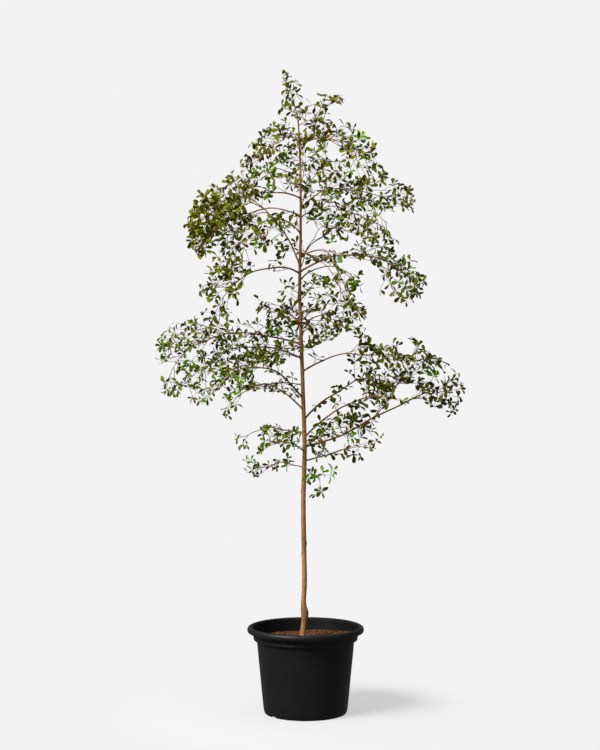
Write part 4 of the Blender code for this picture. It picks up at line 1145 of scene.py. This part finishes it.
pot = {
    "segments": 288,
    "floor": 0.004,
    # radius and height up the outside: the body, two small beads under the lip, and
    # the lip itself, over to its inner edge
    "outside": (
        (0.1476, 0.0000), (0.1500, 0.0005), (0.1516, 0.0020), (0.1526, 0.0040),
        (0.1540, 0.0075), (0.1556, 0.0150), (0.1568, 0.0248), (0.1588, 0.0433),
        (0.1625, 0.0804), (0.1661, 0.1175), (0.1696, 0.1545), (0.1735, 0.1916),
        (0.1770, 0.2287), (0.1784, 0.2440), (0.1796, 0.2600), (0.1800, 0.2655),
        (0.1812, 0.2672), (0.1860, 0.2684), (0.1900, 0.2697), (0.1920, 0.2718),
        (0.1929, 0.2746), (0.1926, 0.2772), (0.1920, 0.2784), (0.1922, 0.2796),
        (0.1934, 0.2808), (0.1942, 0.2828), (0.1944, 0.2860), (0.1940, 0.2900),
        (0.1940, 0.2925), (0.1956, 0.2950), (0.2020, 0.2966), (0.2090, 0.2972),
        (0.2130, 0.2988), (0.2152, 0.3020), (0.2161, 0.3065), (0.2154, 0.3115),
        (0.2128, 0.3162), (0.2088, 0.3190), (0.2056, 0.3196), (0.2012, 0.3186),
        (0.1984, 0.3166),
    ),
    # the same down the inside to the floor
    "inside": (
        (0.1968, 0.3142), (0.1958, 0.3100), (0.1925, 0.2950), (0.1905, 0.2800),
        (0.1888, 0.2745), (0.1872, 0.2708), (0.1785, 0.2680), (0.1765, 0.2650),
        (0.1720, 0.2200), (0.1560, 0.0450), (0.1490, 0.0060), (0.1465, 0.0040),
        (0.1400, 0.0040), (0.1000, 0.0040), (0.0500, 0.0040),
    ),
    "underside": ((0.0500, 0.0), (0.1000, 0.0), (0.1360, 0.0), (0.1385, 0.0), (0.1395, 0.0),
                  (0.1440, 0.0)),
    "steps": 6,
    "notches": (218.5, 158.5, 98.5, 38.5),
    "notchSize": (0.029, 0.008),
    "notchDepth": 0.139,
    "notchEdge": 0.0012,
    # faint moulded lines: height and depth of each, and their half width
    "lines": ((0.062, 0.00022), (0.095, 0.00018), (0.128, 0.00020), (0.161, 0.00018),
              (0.194, 0.00020)),
    "lineWidth": 0.0016,
    "sharp": 50.0,
}

potLook = {
    "rough": 0.36,
    "specular": 0.26,
    "noises": ((9.0, 5.0, 0.6), (70.0, 4.0, 0.7, (1.0, 1.0, 0.25)), (1400.0, 2.0)),
    "stops": (0.35, 0.60, 0.78),
    "over": (1, 0.7, ((0.45, (235, 235, 235)), (0.75, white))),
    "gloss": (1, 0.36, 0.54),
    "bump": (2, 0.00012, 0.5),
}
# The inside: the same plastic, rougher and less shiny, with darker tones below that are painted
# shade in the pot's hollow.
potInsidePaintedShadeLook = dict(potLook, rough=0.60, specular=0.18, gloss=(1, 0.60, 0.78))


def smoothLine(pairs, steps):
    # A Catmull-Rom curve through the pairs, with this many steps between two: the
    # cubic whose slope at each pair is half the way from the one before to the next.
    ends = np.concatenate([2 * pairs[:1] - pairs[1:2], pairs, 2 * pairs[-1:] - pairs[-2:-1]])
    a, b, c, d = ends[:-3, None], ends[1:-2, None], ends[2:-1, None], ends[3:, None]
    t = np.linspace(0.0, 1.0, steps, endpoint=False)[None, :, None]
    curve = b + 0.5 * t * (c - a) + t ** 2 * (a - 2.5 * b + 2 * c - 0.5 * d)
    curve = curve + t ** 3 * (1.5 * b - 1.5 * c + 0.5 * d - 0.5 * a)
    return np.concatenate([curve.reshape(-1, 2), pairs[-1:]])


def potProfile(p):
    # The underside, the outside with faint moulded lines pressed in, and the inside
    # down to the floor, as (radius, height) pairs.
    outside = smoothLine(np.array(p["outside"]), p["steps"])
    for height, depth in p["lines"]:
        outside[:, 0] -= depth * np.exp(-((outside[:, 1] - height) / p["lineWidth"]) ** 2)
    return np.concatenate([p["underside"], outside, p["inside"]])


def lathe(profile, segments):
    # Every (radius, height) pair turned about the axis, and a pole for each end.
    turn = np.linspace(0.0, fullTurn, segments, endpoint=False)
    radius, height = profile[:, 0:1], np.repeat(profile[:, 1:2], segments, axis=1)
    skin = np.stack([radius * np.cos(turn), radius * np.sin(turn), height], -1)
    poles = np.array([[0.0, 0.0, profile[0, 1]], [0.0, 0.0, profile[-1, 1]]])
    return skin, poles, turn


def makePot(p):
    # The turned pot, its foot lifted at each notch: height is at least the notch's, full inside its
    # half width and gone within a millimetre of it. Faces past the lip's inner edge take the second
    # finish, a darker copy of the same plastic that paints the shade inside the pot.
    profile, segments = potProfile(p), p["segments"]
    skin, poles, turn = lathe(profile, segments)
    radius = np.hypot(skin[..., 0], skin[..., 1])
    lift = np.zeros_like(radius)
    (wide, tall), soft = p["notchSize"], p["notchEdge"]
    for azimuth in p["notches"]:
        gap = np.angle(np.exp(1j * (turn - math.radians(azimuth))))[None] * radius
        edge = np.clip((wide / 2 + soft / 2 - np.abs(gap)) / soft, 0, 1)
        lift = np.maximum(lift, tall * edge)
    lift = lift * (radius > p["notchDepth"])
    lip = len(profile) - len(p["inside"])
    inner = np.arange(len(profile))[:, None] >= lip
    skin[..., 2] = np.maximum(skin[..., 2], lift + p["floor"] * ((lift > 0) & inner))
    quads, fans = tubeFaces(1, len(profile), segments)
    within = np.concatenate([quads[:, 0] // segments >= lip - 1, np.arange(len(fans)) >= segments])
    return np.concatenate([skin.reshape(-1, 3), poles]), [quads[:, ::-1], fans[:, ::-1]], within


potPoints, potFaces, potPaintedShadeFaces = makePot(pot)
potFinishes = [
    layeredFinish("potPlastic", ((23, 23, 24), (28, 28, 29), (35, 35, 35)), potLook),
    # painted shade: the inside of the pot is the same plastic in darker tones
    layeredFinish("potInsidePaintedShade", ((9, 9, 10), (12, 12, 12), (17, 17, 17)), potInsidePaintedShadeLook),
]
potPiece = newPiece("potShell", potPoints, potFaces, potFinishes, "pot_plastic", potPaintedShadeFaces,
                    sharp=pot["sharp"])
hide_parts("pot")


# The soil: a lumpy bed of coir and bark chips.

soil = {
    "seed": 9,
    "radius": 0.183,
    "top": 0.2712,
    "bottom": 0.2662,
    # how much wider the bed is where it's heaped, and the power of that from the middle
    "spread": (2.2, 4),
    "rings": 90,
    "sides": 240,
    # the first ring, then underneath: one ring for how many above, and how narrow
    "heart": 0.004,
    "under": (30, 0.92),
    # lumps and grains: how tall, and the rate, shift and seed of their noise
    "lumps": ((0.0034, 45, 20, 14), (0.0016, 210, 9, 15), (0.0008, 520, 3, 16)),
    "fade": 0.012,
    # heaps: across, back, how tall and how wide
    "mound": ((-0.0126, 0.0, 0.004, 0.030), (0.165, 0.070, 0.015, 0.085),
              (0.060, 0.175, 0.006, 0.050)),
    "chips": 900,
    "chipLength": (0.005, 0.016),
    "chipGirth": (0.16, 0.30),
    "chipRings": (-0.5, -0.34, 0.34, 0.5),
    "chipShape": (0.55, 1.0, 1.0, 0.5),
    "chipUneven": (0.65, 1.2),
    "chipTilt": 0.28,
    "chipLift": 0.0008,
    "chipSharp": 40.0,
    "fibres": 340,
    "fibreLength": (0.012, 0.040),
    "fibreRadius": (0.00022, 0.00045),
    "fibreArch": (0.0010, 0.0045),
    "fibreBend": 0.35,
    # how far chips and fibres stay from the pot's wall, and the range of chance that
    # places them
    "inset": (0.012, 0.026),
    "scatter": (0.01, 1.0),
}


def soilLook(scale):
    # Crumbly and matt: grains of dark earth and reddish coir, in paler and darker
    # patches five times as large.
    return {
        "rough": 0.95,
        "noises": ((scale, 6.0, 0.7), (scale * 0.2, 4.0)),
        "stops": (0.34, 0.52, 0.70),
        "over": (1, 0.8, ((0.35, (170, 160, 150)), (0.65, white))),
        "gloss": (0, 0.82, 1.0),
        "bump": (0, 0.0012, 1.0),
    }


def soilHeight(x, y, s):
    # Lumps and grains of value noise, which fade at the pot's wall, and a few heaps
    # of the form exp(-distance^2 / width^2).
    rough = sum(lattice(x * rate + shift, y * rate + shift, seed) * tall
                for tall, rate, shift, seed in s["lumps"])
    heap = sum(tall * np.exp(-((x - across) ** 2 + (y - back) ** 2) / wide ** 2)
               for across, back, tall, wide in s["mound"])
    fade = np.clip((s["radius"] - np.hypot(x, y)) / s["fade"], 0.0, 1.0)
    return s["top"] + rough * fade + heap


def makeSoil(s):
    # A closed disc: rings out to the pot's wall over the height function, then down
    # along the wall and back under. Where it is heaped the disc is wider, as the pot is.
    (spread, power), (step, narrow) = s["spread"], s["under"]
    radii = np.linspace(s["heart"], s["radius"], s["rings"])
    skin, poles, turn = lathe(np.stack([radii, radii * 0], -1), s["sides"])
    skin[..., 2] = soilHeight(skin[..., 0], skin[..., 1], s)
    under = skin[::-step].copy()
    outward = (radii[:, None, None] / s["radius"]) ** power
    skin[..., :2] *= 1 + spread * (np.clip(skin[..., 2:] - s["top"], 0, None) * outward)
    under[..., :2] *= narrow
    under[..., 2] = s["bottom"]
    skin = np.concatenate([skin, under])
    poles[0, 2], poles[1, 2] = soilHeight(np.array(0.0), np.array(0.0), s), s["bottom"]
    return np.concatenate([skin.reshape(-1, 3), poles]), tubeFaces(1, len(skin), s["sides"])


def scatter(s, rng, count, inset):
    # Even random places on the soil: radius is the square root of chance.
    r = (s["radius"] - inset) * np.sqrt(rng.uniform(*s["scatter"], count))
    a = rng.uniform(0, fullTurn, count)
    x, y = r * np.cos(a), r * np.sin(a)
    return np.stack([x, y, soilHeight(x, y, s)], -1)


def makeChips(s):
    # Bark chips: short flattened tubes with four rings of five uneven sides.
    rng, count, sides = np.random.default_rng(s["seed"]), s["chips"], 5
    middle = scatter(s, rng, count, s["inset"][0])
    heading, tilt = rng.uniform(0, fullTurn, count), rng.normal(0, s["chipTilt"], count)
    flat = np.cos(tilt)
    way = np.stack([np.cos(heading) * flat, np.sin(heading) * flat, np.sin(tilt)], -1)
    length, t = rng.uniform(*s["chipLength"], count), np.array(s["chipRings"])
    paths = middle[:, None] + way[:, None] * (length[:, None] * t[None])[..., None]
    paths[..., 2] += s["chipLift"]
    girth = length * rng.uniform(*s["chipGirth"], count)
    uneven = rng.uniform(*s["chipUneven"], (count, len(t), sides))
    shape = np.array(s["chipShape"])[None, :, None] * uneven
    return tubes(paths, girth[:, None, None] * shape, sides)


def makeFibres(s):
    # Coir fibres: thin tubes that lie on the soil, bend with t^2 and arch with cos t.
    rng, count, rings, sides = np.random.default_rng(s["seed"] + 1), s["fibres"], 8, 4
    middle = scatter(s, rng, count, s["inset"][1])
    heading, bend = rng.uniform(0, fullTurn, count), rng.normal(0, s["fibreBend"], count)
    length = rng.uniform(*s["fibreLength"], count)
    t = np.linspace(-0.5, 0.5, rings)
    way = np.stack([np.cos(heading), np.sin(heading)], -1)
    across = np.stack([-way[:, 1], way[:, 0]], -1)
    bent = (bend[:, None] * t[None] ** 2)[..., None]
    flat = way[:, None] * t[None, :, None] + across[:, None] * bent
    flat = middle[:, None, :2] + flat * length[:, None, None]
    arch = rng.uniform(*s["fibreArch"], count)[:, None] * np.cos(math.pi * t)[None]
    height = soilHeight(flat[..., 0], flat[..., 1], s) + arch
    radii = np.repeat(rng.uniform(*s["fibreRadius"], count)[:, None], rings, axis=1)
    return tubes(np.concatenate([flat, height[..., None]], -1), radii, sides)


crumb = layeredFinish("soilCrumb", ((38, 19, 6), (84, 45, 14), (132, 78, 28)), soilLook(420.0))
chip = layeredFinish("barkChip", ((56, 28, 10), (118, 66, 24), (168, 106, 46)), soilLook(260.0))
coir = layeredFinish("coirFibre", ((96, 56, 20), (146, 92, 40), (180, 126, 64)), soilLook(200.0))
soilPieces = (
    newPiece("soilBed", *makeSoil(soil), [crumb], "soil_mix"),
    newPiece("barkChips", *makeChips(soil), [chip], "soil_mix", sharp=soil["chipSharp"]),
    newPiece("coirFibres", *makeFibres(soil), [coir], "soil_mix"),
)
for piece in soilPieces:
    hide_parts("soil")


# Floor, backdrop and light.

studio = {
    "paper": (243, 243, 243),
    "floorTone": (221, 221, 221),
    # the floor's reach, its first ring as a share and how many rings, and how far it
    # lies under the pot
    "floorSize": (28.0, 0.02, 60),
    "floorDrop": 0.0003,
    "own": 0.58,
    "fade": (0.44, 0.74),
    # the dome's radius, its highest and lowest ring in degrees, and how many rings
    "domeSize": (26.0, 89.0, -8.0, 40),
    "sky": 0.17,
    "aim": (0.0, 0.0, 1.1),
    # place, size and power of each soft light
    "key": ((-4.2, -3.6, 5.4), 3.8, 780.0),
    "top": ((0.0, -0.5, 6.5), 6.0, 130.0),
}


def paper(name, s, fades):
    # The backdrop: an even pale glow. The floor is matt paper near the object, which
    # fades by the distance from the middle into the same glow.
    sheet = Finish(name, s["paper"], 1.0)
    sheet.tree.nodes.remove(sheet.shader)
    surface = sheet.node("Emission", {"Color": linear(s["paper"])})["Emission"]
    if fades:
        matt = sheet.node("BsdfDiffuse", {"Color": linear(s["floorTone"])})["BSDF"]
        far = sheet.node("VectorMath", {0: sheet.place()}, operation="LENGTH")["Value"]
        fade = sheet.span(far, s["own"], 1.0, *s["fade"], interpolation_type="SMOOTHSTEP")
        surface = sheet.node("MixShader", {"Fac": fade, 1: matt, 2: surface})["Shader"]
    sheet.give(sheet.tree.nodes["Material Output"], {"Surface": surface})
    return sheet.material


def turnedSheet(radius, height):
    # Rings about the axis, closed by a fan at the first.
    sides = 96
    skin, poles, turn = lathe(np.stack([radius, height], -1), sides)
    quads, fans = tubeFaces(1, len(radius), sides)
    return np.concatenate([skin.reshape(-1, 3), poles[:1]]), [quads, fans[:sides]]


def makeStage(s):
    # The floor and a dome behind all; both are seen but give the tree no light.
    (reach, first, rings), (size, high, low, arcs) = s["floorSize"], s["domeSize"]
    spread = reach * np.linspace(first, 1.0, rings) ** 2
    angle = np.radians(np.linspace(high, low, arcs))
    sheets = (("studioFloor", "floorPaper", spread, spread * 0 - s["floorDrop"], True),
              ("backdropDome", "backdropPaper", size * np.cos(angle), size * np.sin(angle), False))
    for name, title, radius, height, fades in sheets:
        sheet = newPiece(name, *turnedSheet(radius, height), [paper(title, s, fades)])
        sheet.visible_diffuse = False
        sheet.visible_glossy = False


def softLight(name, s):
    # A round area light that looks at the aim.
    place, size, power = s[name]
    data = bpy.data.lights.new(name + "Light", "AREA")
    data.shape = "DISK"
    data.size = size
    data.energy = power
    item = bpy.data.objects.new(name + "Light", data)
    x, y, z = np.array(place) - np.array(s["aim"])
    item.location = place
    item.rotation_euler = (math.atan2(math.hypot(x, y), z), 0.0, math.atan2(y, x) + math.pi / 2)
    item.visible_camera = False
    bpy.context.scene.collection.objects.link(item)


def makeStudio(s):
    # An even, dim sky, the stage and two soft lights.
    world = bpy.data.worlds.new("studioSky")
    world.use_nodes = True
    sky = world.node_tree.nodes["Background"]
    sky.inputs["Color"].default_value = (1.0, 1.0, 1.0, 1.0)
    sky.inputs["Strength"].default_value = s["sky"]
    bpy.context.scene.world = world
    bpy.context.scene.view_settings.view_transform = "Standard"
    makeStage(s)
    softLight("key", s)
    softLight("top", s)


makeStudio(studio)
print("studio set up")
